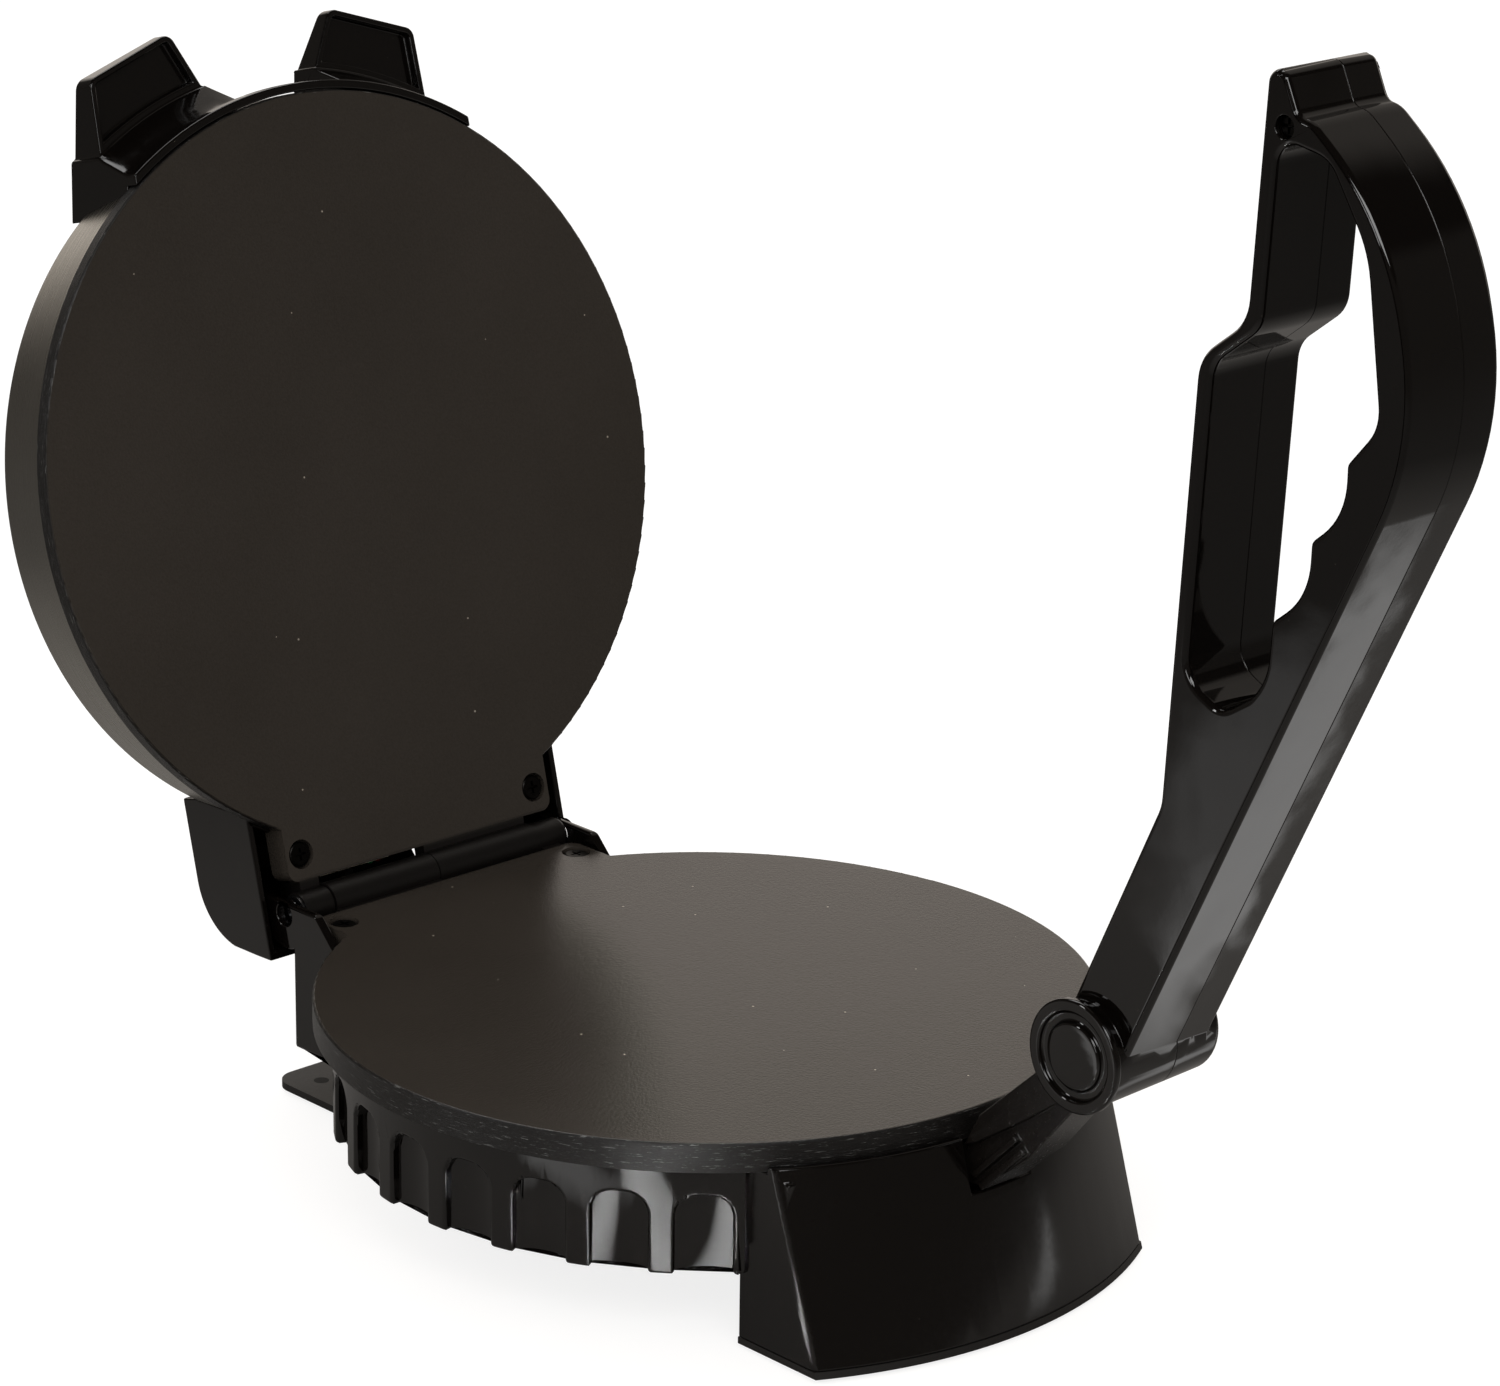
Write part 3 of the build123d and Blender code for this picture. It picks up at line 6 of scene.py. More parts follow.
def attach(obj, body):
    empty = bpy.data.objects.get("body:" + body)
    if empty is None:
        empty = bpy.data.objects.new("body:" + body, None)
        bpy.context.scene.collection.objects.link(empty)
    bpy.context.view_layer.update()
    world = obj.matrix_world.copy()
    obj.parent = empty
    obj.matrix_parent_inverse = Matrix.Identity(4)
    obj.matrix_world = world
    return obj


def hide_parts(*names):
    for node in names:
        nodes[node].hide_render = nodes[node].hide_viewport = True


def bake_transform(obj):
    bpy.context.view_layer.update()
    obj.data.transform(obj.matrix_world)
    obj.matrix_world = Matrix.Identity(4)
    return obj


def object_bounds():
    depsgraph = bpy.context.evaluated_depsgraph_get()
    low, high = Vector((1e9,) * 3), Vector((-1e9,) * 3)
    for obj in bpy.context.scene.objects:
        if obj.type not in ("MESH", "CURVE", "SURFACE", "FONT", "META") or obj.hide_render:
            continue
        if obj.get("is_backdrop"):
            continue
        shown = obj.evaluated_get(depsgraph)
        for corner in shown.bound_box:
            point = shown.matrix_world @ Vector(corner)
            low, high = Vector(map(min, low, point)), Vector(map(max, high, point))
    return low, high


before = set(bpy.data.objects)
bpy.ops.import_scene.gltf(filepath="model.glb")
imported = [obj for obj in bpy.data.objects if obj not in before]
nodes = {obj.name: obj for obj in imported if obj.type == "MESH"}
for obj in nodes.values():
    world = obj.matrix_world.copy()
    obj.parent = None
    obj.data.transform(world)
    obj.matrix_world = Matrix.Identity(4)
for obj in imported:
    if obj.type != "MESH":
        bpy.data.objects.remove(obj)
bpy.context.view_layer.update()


# Cooking plates: two sand-cast aluminium discs, faced on a lathe and sprayed with a dark
# non-stick coat. The coat is satin and brown-black with a fine pebble, and it leaves the
# lathe's rings showing round the edge. The lid's plate is turned with the lid.
def tone(code):
    """sRGB hex colour as linear red, green, blue and alpha."""
    parts = [int(code[k:k + 2], 16) / 255 for k in (1, 3, 5)]
    return [p / 12.92 if p <= 0.04045 else ((p + 0.055) / 1.055) ** 2.4 for p in parts] + [1.0]


def add(tree, kind, sockets, **settings):
    """Adds one shader node with its settings, and its sockets' values or links."""
    made = tree.nodes.new(kind)
    for name, value in settings.items():
        setattr(made, name, value)
    for name, value in sockets.items():
        if isinstance(value, bpy.types.NodeSocket):
            tree.links.new(value, made.inputs[name])
        else:
            made.inputs[name].default_value = value
    return made


def new_finish(name):
    """Empty material, with its node tree and the Object coordinates that its patterns read."""
    material = bpy.data.materials.new(name)
    material.use_nodes = True
    tree = material.node_tree
    tree.nodes.clear()
    return material, tree, add(tree, "ShaderNodeTexCoord", {}).outputs["Object"]


def coat(material, tree, **sockets):
    """Ends a material in one Principled shader."""
    values = {name.replace("_", " "): value for name, value in sockets.items()}
    shader = add(tree, "ShaderNodeBsdfPrincipled", values)
    add(tree, "ShaderNodeOutputMaterial", {"Surface": shader.outputs["BSDF"]})
    return material


def dress(material, *names):
    """Gives carried-over CAD nodes their finish."""
    for name in names:
        nodes[name].data.materials.clear()
        nodes[name].data.materials.append(material)


PLATE_CENTRE = Vector((0, 0.0276435, 0))
HINGE = Vector((0, 0.1683435, 0.0718))
LID_OPEN = radians(-104)
open_lid = (Matrix.Translation(HINGE) @ Matrix.Rotation(LID_OPEN, 4, "X")
            @ Matrix.Translation(-HINGE))
closed_lid = open_lid.inverted()


def about_axis(tree, place, turn):
    """Coordinates from the plates' axis, the same laid flat, and the distance from the axis."""
    centred = add(tree, "ShaderNodeMapping", {
        "Vector": place, "Rotation": turn.to_euler(),
        "Location": turn.translation - PLATE_CENTRE}).outputs["Vector"]
    level = add(tree, "ShaderNodeMapping", {
        "Vector": centred, "Scale": (1, 1, 0)}).outputs["Vector"]
    distance = add(tree, "ShaderNodeVectorMath", {0: level}, operation="LENGTH").outputs["Value"]
    return centred, level, distance


# The turned rim starts just inside the plates' radius of 127 mm and ends where the tongue
# leaves it, and the hinge sleeves begin behind that.
RIM_STARTS, RIM_FULL, TONGUE_STARTS = 0.1263, 0.1267, 0.112
SLEEVE_STARTS, SLEEVE_FULL = 0.1305, 0.1325
for plate, turn in (("lower_plate", Matrix.Identity(4)), ("upper_plate", closed_lid)):
    finish, t, place = new_finish("nonstick_coat_on_" + plate)
    centred, level, radius = about_axis(t, place, turn)
    rim = add(t, "ShaderNodeMapRange", {
        "Value": radius, "From Min": RIM_STARTS, "From Max": RIM_FULL}).outputs["Result"]
    backwards = add(t, "ShaderNodeSeparateXYZ", {"Vector": centred}).outputs["Y"]
    round_part = add(t, "ShaderNodeMath", {0: backwards, 1: TONGUE_STARTS},
                     operation="LESS_THAN").outputs["Value"]
    rim = add(t, "ShaderNodeMath", {0: rim, 1: round_part},
              operation="MULTIPLY").outputs["Value"]
    sleeve = add(t, "ShaderNodeMapRange", {
        "Value": backwards, "From Min": SLEEVE_STARTS, "From Max": SLEEVE_FULL}).outputs["Result"]
    # Pebble of the sprayed coat: about 0.8 mm across, drawn coarser than the real 0.2 mm, on
    # slow clouds of 90 mm.
    pebble = add(t, "ShaderNodeTexNoise", {
        "Vector": place, "Scale": 1250.0, "Detail": 2.0}).outputs["Fac"]
    cloud = add(t, "ShaderNodeTexNoise", {
        "Vector": place, "Scale": 11.0, "Detail": 4.0}).outputs["Fac"]
    # Lathe marks round the edge: 0.3 mm apart and 6 mm long, with bare bright ends.
    pulled = add(t, "ShaderNodeMapping", {
        "Vector": centred, "Scale": (160.0, 160.0, 3400.0)}).outputs["Vector"]
    marks = add(t, "ShaderNodeTexNoise", {
        "Vector": pulled, "Scale": 1.0, "Detail": 3.0, "Roughness": 0.7}).outputs["Fac"]
    bare = add(t, "ShaderNodeMapRange", {
        "Value": marks, "From Min": 0.63, "From Max": 0.70}).outputs["Result"]
    bare = add(t, "ShaderNodeMath", {0: bare, 1: rim}, operation="MULTIPLY").outputs["Value"]
    # Pale specks up to 0.7 mm across, a few to the hand's breadth: painted glints of the coat's
    # sparkle.
    fleck_cells = add(t, "ShaderNodeTexVoronoi", {"Vector": centred, "Scale": 95.0})
    dot = add(t, "ShaderNodeMath", {0: fleck_cells.outputs["Distance"], 1: 0.035},
              operation="LESS_THAN").outputs["Value"]
    rare = add(t, "ShaderNodeMath", {0: fleck_cells.outputs["Color"], 1: 0.55},
               operation="GREATER_THAN").outputs["Value"]
    speck = add(t, "ShaderNodeMath", {0: dot, 1: rare}, operation="MULTIPLY").outputs["Value"]
    # Brown-black on the faces, darker and duller on the rim and the sleeves.
    mottle = add(t, "ShaderNodeMix", {0: 0.45, 2: cloud, 3: pebble}).outputs[0]
    base = add(t, "ShaderNodeMix", {0: mottle, 6: tone("#221f1b"), 7: tone("#383430")},
               data_type="RGBA").outputs[2]
    rim_and_sleeves = add(t, "ShaderNodeMath", {0: rim, 1: sleeve}, operation="MAXIMUM").outputs["Value"]
    base = add(t, "ShaderNodeMix", {0: rim_and_sleeves, 6: base, 7: tone("#0d0b0a")},
               data_type="RGBA").outputs[2]
    # Painted glints: the specks are drawn in a pale base colour, not made by reflection.
    glint_flecked = add(t, "ShaderNodeMix", {0: speck, 6: base, 7: tone("#8d877d")},
                data_type="RGBA").outputs[2]
    shown = add(t, "ShaderNodeMix", {0: bare, 6: glint_flecked, 7: tone("#9a9c9b")},
                data_type="RGBA").outputs[2]
    rough = add(t, "ShaderNodeMapRange", {
        "Value": cloud, "To Min": 0.2, "To Max": 0.27}).outputs["Result"]
    rough = add(t, "ShaderNodeMix", {0: rim_and_sleeves, 2: rough, 3: 0.36}).outputs[0]
    turned = add(t, "ShaderNodeBump", {
        "Height": marks, "Strength": rim, "Distance": 0.00025}).outputs["Normal"]
    bumpy = add(t, "ShaderNodeBump", {
        "Height": pebble, "Strength": 0.2, "Distance": 0.0003, "Normal": turned})
    dress(coat(finish, t, Base_Color=shown, Roughness=rough, Metallic=bare, IOR=1.48,
               Normal=bumpy.outputs["Normal"]), plate)


# Heating parts inside both halves: nickel-steel rod elements, aluminised heat shields,
# phenolic thermostats, ceramic terminal blocks and leads in woven glass sleeves.
def plain_finish(name, low, high, size, rough, metallic=0.0, ior=1.5, grain=0.1,
                 depth=0.0002, stretch=(1, 1, 1)):
    """Finish of a small part: two close colours and a grain of one size, in metres."""
    finish, t, place = new_finish(name)
    pulled = add(t, "ShaderNodeMapping", {"Vector": place, "Scale": stretch}).outputs["Vector"]
    noise = add(t, "ShaderNodeTexNoise", {
        "Vector": pulled, "Scale": 1 / size, "Detail": 4.0, "Roughness": 0.65}).outputs["Fac"]
    colour = add(t, "ShaderNodeMix", {0: noise, 6: tone(low), 7: tone(high)}, data_type="RGBA")
    span = add(t, "ShaderNodeMapRange", {
        "Value": noise, "To Min": rough - 0.07, "To Max": rough + 0.09})
    bump = add(t, "ShaderNodeBump", {"Height": noise, "Strength": grain, "Distance": depth})
    return coat(finish, t, Base_Color=colour.outputs[2], Roughness=span.outputs["Result"],
                Metallic=metallic, IOR=ior, Normal=bump.outputs["Normal"])


# Sheathed element rod: drawn nickel steel, heat-tinted brown and cloudy.
dress(plain_finish("oxidised_nickel_steel", "#5a5048", "#85786b", 0.004, 0.42, 1.0),
      "lower_heating_element", "upper_heating_element")
# Aluminised sheet: spangled, soft sheen.
dress(plain_finish("aluminised_steel_sheet", "#9a9d9f", "#b9bcbd", 0.003, 0.34, 1.0),
      "lower_heat_shield", "upper_heat_shield")
# Phenolic moulding: dull dark brown with fine filler.
dress(plain_finish("phenolic_moulding", "#1d1512", "#2c211c", 0.0012, 0.45),
      "lower_thermostat", "upper_thermostat")
# Tin-plated brass fuse case: pale, faintly mottled.
dress(plain_finish("tinned_fuse_case", "#a8a49a", "#c4c0b6", 0.002, 0.3, 1.0),
      "lower_thermal_fuse", "upper_thermal_fuse")
# Steatite ceramic: off-white, matt, slightly pitted.
dress(plain_finish("steatite_ceramic", "#cfc8ba", "#e2dccf", 0.0015, 0.6, grain=0.25),
      "terminal_block", "lid_terminal_block")
# Mineral wool ring: matted fibres, dull yellow-grey.
dress(plain_finish("mineral_wool", "#8f8468", "#b3a887", 0.0022, 0.95, grain=0.9, depth=0.001),
      "lid_insulation")
# Glass-fibre sleeving: off-white weave about 1 mm across, drawn as small ridges.
dress(plain_finish("woven_glass_sleeve", "#b6b0a2", "#d8d3c7", 0.0011, 0.8, grain=0.8,
                   depth=0.0005), "base_leads", "lid_leads")


# Base shell: one injection moulding in polished black ABS, with the fluted skirt, the neck
# behind it and the two ears that hold the hinge pin. Each flute has a hollowed floor, and the
# tool leaves every outer edge slightly round, which draws a thin bright line along it.
def moulded_abs(name, smooth, rough, wave):
    """Black ABS out of a polished tool, with sharp reflections. Sink waves are 24 mm long,
    handling marks 2 mm, and dust specks 0.4 mm across."""
    finish, t, place = new_finish(name)
    sink = add(t, "ShaderNodeTexNoise", {
        "Vector": place, "Scale": 42.0, "Detail": 1.0}).outputs["Fac"]
    marks = add(t, "ShaderNodeTexNoise", {
        "Vector": place, "Scale": 520.0, "Detail": 4.0, "Roughness": 0.7}).outputs["Fac"]
    speck = add(t, "ShaderNodeTexVoronoi", {"Vector": place, "Scale": 120.0})
    dust = add(t, "ShaderNodeMapRange", {
        "Value": speck.outputs["Distance"],
        "From Min": 0.015, "From Max": 0.03, "To Min": 1.0, "To Max": 0.0})
    colour = add(t, "ShaderNodeMix", {
        0: dust.outputs["Result"], 6: tone("#080605"), 7: tone("#2a2724")}, data_type="RGBA")
    worn = add(t, "ShaderNodeMapRange", {
        "Value": marks, "From Min": 0.3, "From Max": 0.75, "To Min": smooth, "To Max": rough})
    waves = add(t, "ShaderNodeBump", {"Height": sink, "Strength": wave, "Distance": 0.002})
    fine = add(t, "ShaderNodeBump", {
        "Height": marks, "Strength": 0.02, "Distance": 0.0002,
        "Normal": waves.outputs["Normal"]})
    return coat(finish, t, Base_Color=colour.outputs[2], Roughness=worn.outputs["Result"],
                IOR=1.53, Normal=fine.outputs["Normal"])


# The shell, lever and cap come out of polished tools. The other mouldings are a little duller.
polished_abs = moulded_abs("polished_black_abs", 0.03, 0.07, 0.10)
satin_abs = moulded_abs("moulded_black_abs", 0.08, 0.15, 0.06)


def only(piece):
    """Selects one object alone and makes it active."""
    bpy.ops.object.select_all(action="DESELECT")
    piece.select_set(True)
    bpy.context.view_layer.objects.active = piece


def settle(piece, name, body, slot, material, *replaced):
    """Names a piece, puts its place into its mesh, and says what it rides on and stands for."""
    only(piece)
    bpy.ops.object.transform_apply(location=True, rotation=True, scale=True)
    piece.name = name
    piece.data.name = name
    piece.data.materials.clear()
    piece.data.materials.append(material)
    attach(piece, body)
    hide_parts(*replaced)


def modify(piece, kind, **settings):
    """Adds a modifier with its settings and applies it."""
    only(piece)
    made = piece.modifiers.new(kind.lower(), kind)
    for name, value in settings.items():
        setattr(made, name, value)
    bpy.ops.object.modifier_apply(modifier=made.name)


def even_light(piece):
    """Smooth shading that leaves the flats flat."""
    only(piece)
    bpy.ops.object.shade_smooth_by_angle(angle=radians(32))
    modify(piece, "WEIGHTED_NORMAL", keep_sharp=True, weight=60)


SHARP = radians(35)


def round_edges(piece, width, segments=3):
    """Rounds every sharp edge by a real width and keeps the flats flat in the light."""
    modify(piece, "BEVEL", width=width, segments=segments, limit_method="ANGLE",
           angle_limit=SHARP, use_clamp_overlap=False, harden_normals=False)
    even_light(piece)


def merged_copy(node):
    """Copy of a CAD node with its loose triangles merged into whole faces."""
    piece = nodes[node].copy()
    piece.data = nodes[node].data.copy()
    for key in list(piece.keys()):
        del piece[key]
    piece.parent = None
    bpy.context.scene.collection.objects.link(piece)
    only(piece)
    bpy.ops.mesh.customdata_custom_splitnormals_clear()
    bpy.ops.object.mode_set(mode="EDIT")
    bpy.ops.mesh.select_all(action="SELECT")
    bpy.ops.mesh.remove_doubles(threshold=2e-6)
    bpy.ops.mesh.dissolve_limited(angle_limit=radians(0.25))
    bpy.ops.object.mode_set(mode="OBJECT")
    return piece


def pick(piece, mode, test):
    """Selects the faces, edges or vertices that pass a test, in edit mode."""
    only(piece)
    bpy.ops.object.mode_set(mode="EDIT")
    bpy.ops.mesh.select_mode(type=mode)
    bpy.ops.mesh.select_all(action="DESELECT")
    bpy.ops.object.mode_set(mode="OBJECT")
    mesh = piece.data
    if mode == "FACE":
        for face in mesh.polygons:
            face.select = test(face.center, face.normal)
    elif mode == "EDGE":
        for edge in mesh.edges:
            a, b = (mesh.vertices[k].co for k in edge.vertices)
            edge.select = test((a + b) / 2, (b - a).normalized())
    else:
        for vertex in mesh.vertices:
            vertex.select = test(vertex.co, vertex.normal)
    bpy.ops.object.mode_set(mode="EDIT")


def round_sharp(piece, test, width, segments):
    """Rounds the sharp edges whose middles pass a test."""
    only(piece)
    bpy.ops.object.mode_set(mode="EDIT")
    bpy.ops.mesh.select_mode(type="EDGE")
    bpy.ops.mesh.select_all(action="DESELECT")
    bpy.ops.mesh.edges_select_sharp(sharpness=SHARP)
    bpy.ops.object.mode_set(mode="OBJECT")
    points = piece.data.vertices
    for edge in piece.data.edges:
        a, b = (points[k].co for k in edge.vertices)
        edge.select = edge.select and test((a + b) / 2)
    bpy.ops.object.mode_set(mode="EDIT")
    bpy.ops.mesh.bevel(offset=width, segments=segments, clamp_overlap=False)
    bpy.ops.object.mode_set(mode="OBJECT")


def cut(piece, tool, operation="DIFFERENCE"):
    """Cuts a piece with a tool and removes the tool."""
    modify(piece, "BOOLEAN", object=tool, operation=operation, solver="EXACT")
    bpy.data.objects.remove(tool)


def block(at, size):
    """Plain block, as a tool that cuts a piece."""
    bpy.ops.object.select_all(action="DESELECT")
    bpy.ops.mesh.primitive_cube_add(size=1, location=at, scale=size)
    return bpy.context.object


# One flute's hollow is a block whose top edges are rounded to an arch and whose inner face is
# a wide drum's side. Copies of it, turned about the plates' axis, cut the shell.
SKIRT_RADIUS, SKIRT_LOW, FLUTE_TOP = 0.121, 0.0255, 0.0515
FLUTE_HALF, FLUTE_FLOOR, FLUTE_SIDE, FLUTE_ARCH = 0.00886, 0.0046, 0.00325, 0.00706
FLUTE_FIRST, FLUTE_PITCH, FLUTES_PER_SIDE = 42.75, 12.4, 9
BLOCK_OUT, BLOCK_THICK, BLOCK_BELOW, BLOCK_ABOVE = 0.002, 0.016, 0.004, 0.00006
DRUM_HEIGHT, DRUM_LENGTH = 0.05, 0.2
hollow = block(
    (SKIRT_RADIUS + BLOCK_OUT, 0, (SKIRT_LOW - BLOCK_BELOW + FLUTE_TOP + BLOCK_ABOVE) / 2),
    (BLOCK_THICK, 2 * FLUTE_HALF, FLUTE_TOP - SKIRT_LOW + BLOCK_BELOW + BLOCK_ABOVE))
bpy.ops.object.transform_apply(location=True, rotation=True, scale=True)
pick(hollow, "EDGE", lambda at, along: abs(along.x) > 0.9 and at.z > SKIRT_LOW + 0.02)
bpy.ops.mesh.bevel(offset=FLUTE_ARCH, segments=12)
bpy.ops.object.mode_set(mode="OBJECT")
rise = FLUTE_FLOOR - FLUTE_SIDE
drum_radius = (FLUTE_HALF ** 2 + rise ** 2) / (2 * rise)
bpy.ops.mesh.primitive_cylinder_add(
    vertices=256, radius=drum_radius, depth=DRUM_LENGTH,
    location=(SKIRT_RADIUS - FLUTE_FLOOR + drum_radius, 0, DRUM_HEIGHT))
cut(hollow, bpy.context.object, "INTERSECT")
shell = merged_copy("base_shell")
hollows = []
for side in (-1, 1):
    for k in range(FLUTES_PER_SIDE):
        turn = radians(-90 + side * (FLUTE_FIRST + FLUTE_PITCH * k))
        one = hollow.copy()
        one.data = hollow.data.copy()
        one.data.transform(Matrix.Translation(PLATE_CENTRE) @ Matrix.Rotation(turn, 4, "Z"))
        bpy.context.scene.collection.objects.link(one)
        hollows.append(one)
bpy.data.objects.remove(hollow)
only(hollows[0])
for one in hollows:
    one.select_set(True)
bpy.ops.object.join()
cut(shell, hollows[0])


def from_axis(at):
    """Distance from the plates' axis."""
    return (Vector((at.x, at.y)) - PLATE_CENTRE.xy).length


# The lips of the flutes are rounder than the rest of the moulding. The bottom rim stays sharp.
LIP_ROUND, EDGE_ROUND = 0.0013, 0.0005
LIPS_OUTSIDE, LIPS_LOW, LIPS_TOP = 0.1197, 0.0258, 0.0525
SHELL_OUTSIDE, ABOVE_RIM, NECK_STARTS = 0.1186, 0.0262, 0.115
round_sharp(shell, lambda at: (from_axis(at) > LIPS_OUTSIDE and LIPS_LOW < at.z < LIPS_TOP
                               and at.y < NECK_STARTS), LIP_ROUND, 4)
round_sharp(shell, lambda at: (at.z > ABOVE_RIM and (from_axis(at) > SHELL_OUTSIDE
                                                     or at.y > NECK_STARTS)), EDGE_ROUND, 3)
even_light(shell)
settle(shell, "fluted_base_shell", "base", "black_plastic", polished_abs, "base_shell")

# Front housing: the moulded foot under the front of the plate, with its coned face, the notch
# that the lever's bracket comes out of, and a pressed sheet that closes it from below.
housing = merged_copy("front_housing")
round_edges(housing, 0.0008)
settle(housing, "front_foot_housing", "base", "black_plastic", satin_abs, "front_housing")
# Powder coat on steel sheet: black, even and half matt, with a fine orange peel.
powder = plain_finish("black_powder_coat", "#131211", "#1c1a19", 0.0009, 0.5, grain=0.3)
dress(powder, "front_housing_cover", "base_cover", "rear_stand")

# Rear stand, feet and cord gland: a column moulded like the shell on a powder-coated steel
# plate, and black rubber under and round what has to grip.
column = merged_copy("rear_column")
round_edges(column, 0.0005)
settle(column, "rear_support_column", "base", "black_plastic", satin_abs, "rear_column")
# Moulded rubber: dark, dull and slightly dusty.
dress(plain_finish("black_rubber", "#0f0e0d", "#191715", 0.0013, 0.78, grain=0.35),
      "front_feet", "rear_feet", "cord_gland")

# Lever bracket: an aluminium die casting stove-enamelled black, bolted inside the front
# housing. Its ribs and edges are rounded by the die, and the enamel pools into a gloss.
enamel = plain_finish("black_stove_enamel", "#0e0c0b", "#171412", 0.0016, 0.24, ior=1.52,
                      grain=0.12)
bracket = merged_copy("lever_bracket")
round_edges(bracket, 0.0006)
settle(bracket, "lever_bracket_casting", "base", "bracket_metal", enamel, "lever_bracket")

# Screws, pins and the bush: countersunk screws in black oxide where they show, bright zinc
# inside, ground steel pins, and a sintered brass bush pressed into the barrel.
# Black oxide: near black, with a dull metal sheen.
dress(plain_finish("black_oxide_steel", "#1b1a19", "#2f2d2b", 0.0008, 0.3, 1.0),
      "lower_plate_screws", "upper_plate_screws", "lever_screws")
# Bright zinc: pale grey and faintly mottled.
dress(plain_finish("zinc_plated_steel", "#8e9092", "#b0b2b4", 0.0008, 0.32, 1.0),
      "base_cover_screws", "housing_screws", "front_cover_screws", "rear_stand_screws",
      "bracket_screws", "clip_screws")
# Ground steel: fine lengthwise marks, drawn 0.6 mm apart and so coarser than the real ones.
dress(plain_finish("ground_steel_pin", "#77787a", "#9a9b9d", 0.0006, 0.25, 1.0,
                   stretch=(0.2, 1, 1)), "hinge_pin", "pivot_pin", "hinge_clips")
# Sintered brass: warm and dull, with fine pores.
dress(plain_finish("sintered_brass", "#8c6b35", "#a98445", 0.0007, 0.4, 1.0), "pivot_bush")

# Lever: two gloss ABS mouldings screwed together at a seam, with the barrel round the pivot at
# their foot. The seam edges are broken by 0.34 mm, so that a fine groove runs all the way round.
PIVOT = Vector((0, -0.1567565, 0.111))
LEVER_SEAM, LEVER_DRAFT, LEVER_EDGE = 0.0038, 0.021, 0.00034
BARREL_CLEAR, SIDE_LIMIT, SKIN = 0.04, 0.3, 0.0005
for half in ("lever_left_half", "lever_right_half"):
    lever = merged_copy(half)
    # The tool's draft: the front draws in 1.2 degrees from the seam, so that the two halves
    # mirror different things. Points inside, at the side or round the barrel stay.
    shifts = {}
    for point in lever.data.vertices:
        outward = Vector((0, point.normal.y, point.normal.z))
        from_pivot = (Vector((point.co.y, point.co.z)) - PIVOT.yz).length
        if outward.length > SIDE_LIMIT and from_pivot > BARREL_CLEAR and outward.y < 0:
            outward.normalize()
            if not lever.ray_cast(point.co + outward * SKIN, outward)[0]:
                shifts[point.index] = outward * LEVER_DRAFT * abs(point.co.x - LEVER_SEAM)
    for index, shift in shifts.items():
        lever.data.vertices[index].co -= shift
    round_edges(lever, LEVER_EDGE)
    settle(lever, half.replace("lever", "gloss_lever"), "lever", "black_plastic",
           polished_abs, half)

# Pivot cap: a turned-looking ABS button pressed on the left end of the barrel. Each step is
# an inset and a push: the round rim, the groove, and three small ones for the domed middle.
CAP_OUT, CAP_IN, CAP_RADIUS, CAP_EDGE = -0.0244, -0.0217, 0.0177, 0.0009
CAP_STEPS = ((0.0040, 0.0016), (0.0031, -0.0014))
CAP_DOME = ((0.0022, -0.00014), (0.0026, -0.0001), (0.0028, -0.00004))
bpy.ops.object.select_all(action="DESELECT")
bpy.ops.mesh.primitive_cylinder_add(
    vertices=128, radius=CAP_RADIUS, depth=CAP_IN - CAP_OUT, rotation=(0, pi / 2, 0),
    location=PIVOT + Vector(((CAP_OUT + CAP_IN) / 2, 0, 0)))
cap = bpy.context.object
bpy.ops.object.transform_apply(location=True, rotation=True, scale=True)
pick(cap, "FACE", lambda at, normal: normal.x < -0.9)
for inset, push in CAP_STEPS:
    bpy.ops.mesh.inset(thickness=inset, depth=0)
    bpy.ops.mesh.extrude_region_move(TRANSFORM_OT_translate={"value": (push, 0, 0)})
for inset, push in CAP_DOME:
    bpy.ops.mesh.inset(thickness=inset, depth=0)
    bpy.ops.transform.translate(value=(push, 0, 0))
bpy.ops.object.mode_set(mode="OBJECT")
round_edges(cap, CAP_EDGE, segments=4)
settle(cap, "pivot_cap_button", "lever", "black_plastic", polished_abs, "pivot_cap")

# Lid cover: a dish deep-drawn from 1 mm stainless sheet and brushed, with a rolled corner and
# a low dome. The brush marks run round it and stretch every reflection along the rim.
steel, t, place = new_finish("brushed_stainless_steel")
centred, level, radius = about_axis(t, place, closed_lid)
# Brush lines 0.9 mm apart, coarser than the real 0.2 mm, run round the side and the dome.
height = add(t, "ShaderNodeSeparateXYZ", {"Vector": centred}).outputs["Z"]
line = add(t, "ShaderNodeMath", {0: height, 1: radius}, operation="SUBTRACT").outputs["Value"]
lift = add(t, "ShaderNodeCombineXYZ", {"Z": line}).outputs["Vector"]
ring = add(t, "ShaderNodeVectorMath", {0: level, 1: lift}, operation="ADD").outputs["Vector"]
pulled = add(t, "ShaderNodeMapping", {
    "Vector": ring, "Scale": (14.0, 14.0, 1100.0)}).outputs["Vector"]
brush = add(t, "ShaderNodeTexNoise", {
    "Vector": pulled, "Scale": 1.0, "Detail": 5.0, "Roughness": 0.75}).outputs["Fac"]
# Smears of handling, about 40 mm across.
smear = add(t, "ShaderNodeTexNoise", {
    "Vector": place, "Scale": 26.0, "Detail": 2.0}).outputs["Fac"]
shade = add(t, "ShaderNodeMix", {0: smear, 6: tone("#8d8a84"), 7: tone("#a6a39c")},
            data_type="RGBA")
dull = add(t, "ShaderNodeMapRange", {"Value": brush, "To Min": 0.2, "To Max": 0.36})
lines = add(t, "ShaderNodeBump", {"Height": brush, "Strength": 0.18, "Distance": 0.0002})
coat(steel, t, Base_Color=shade.outputs[2], Roughness=dull.outputs["Result"], Metallic=1.0,
     Normal=lines.outputs["Normal"])
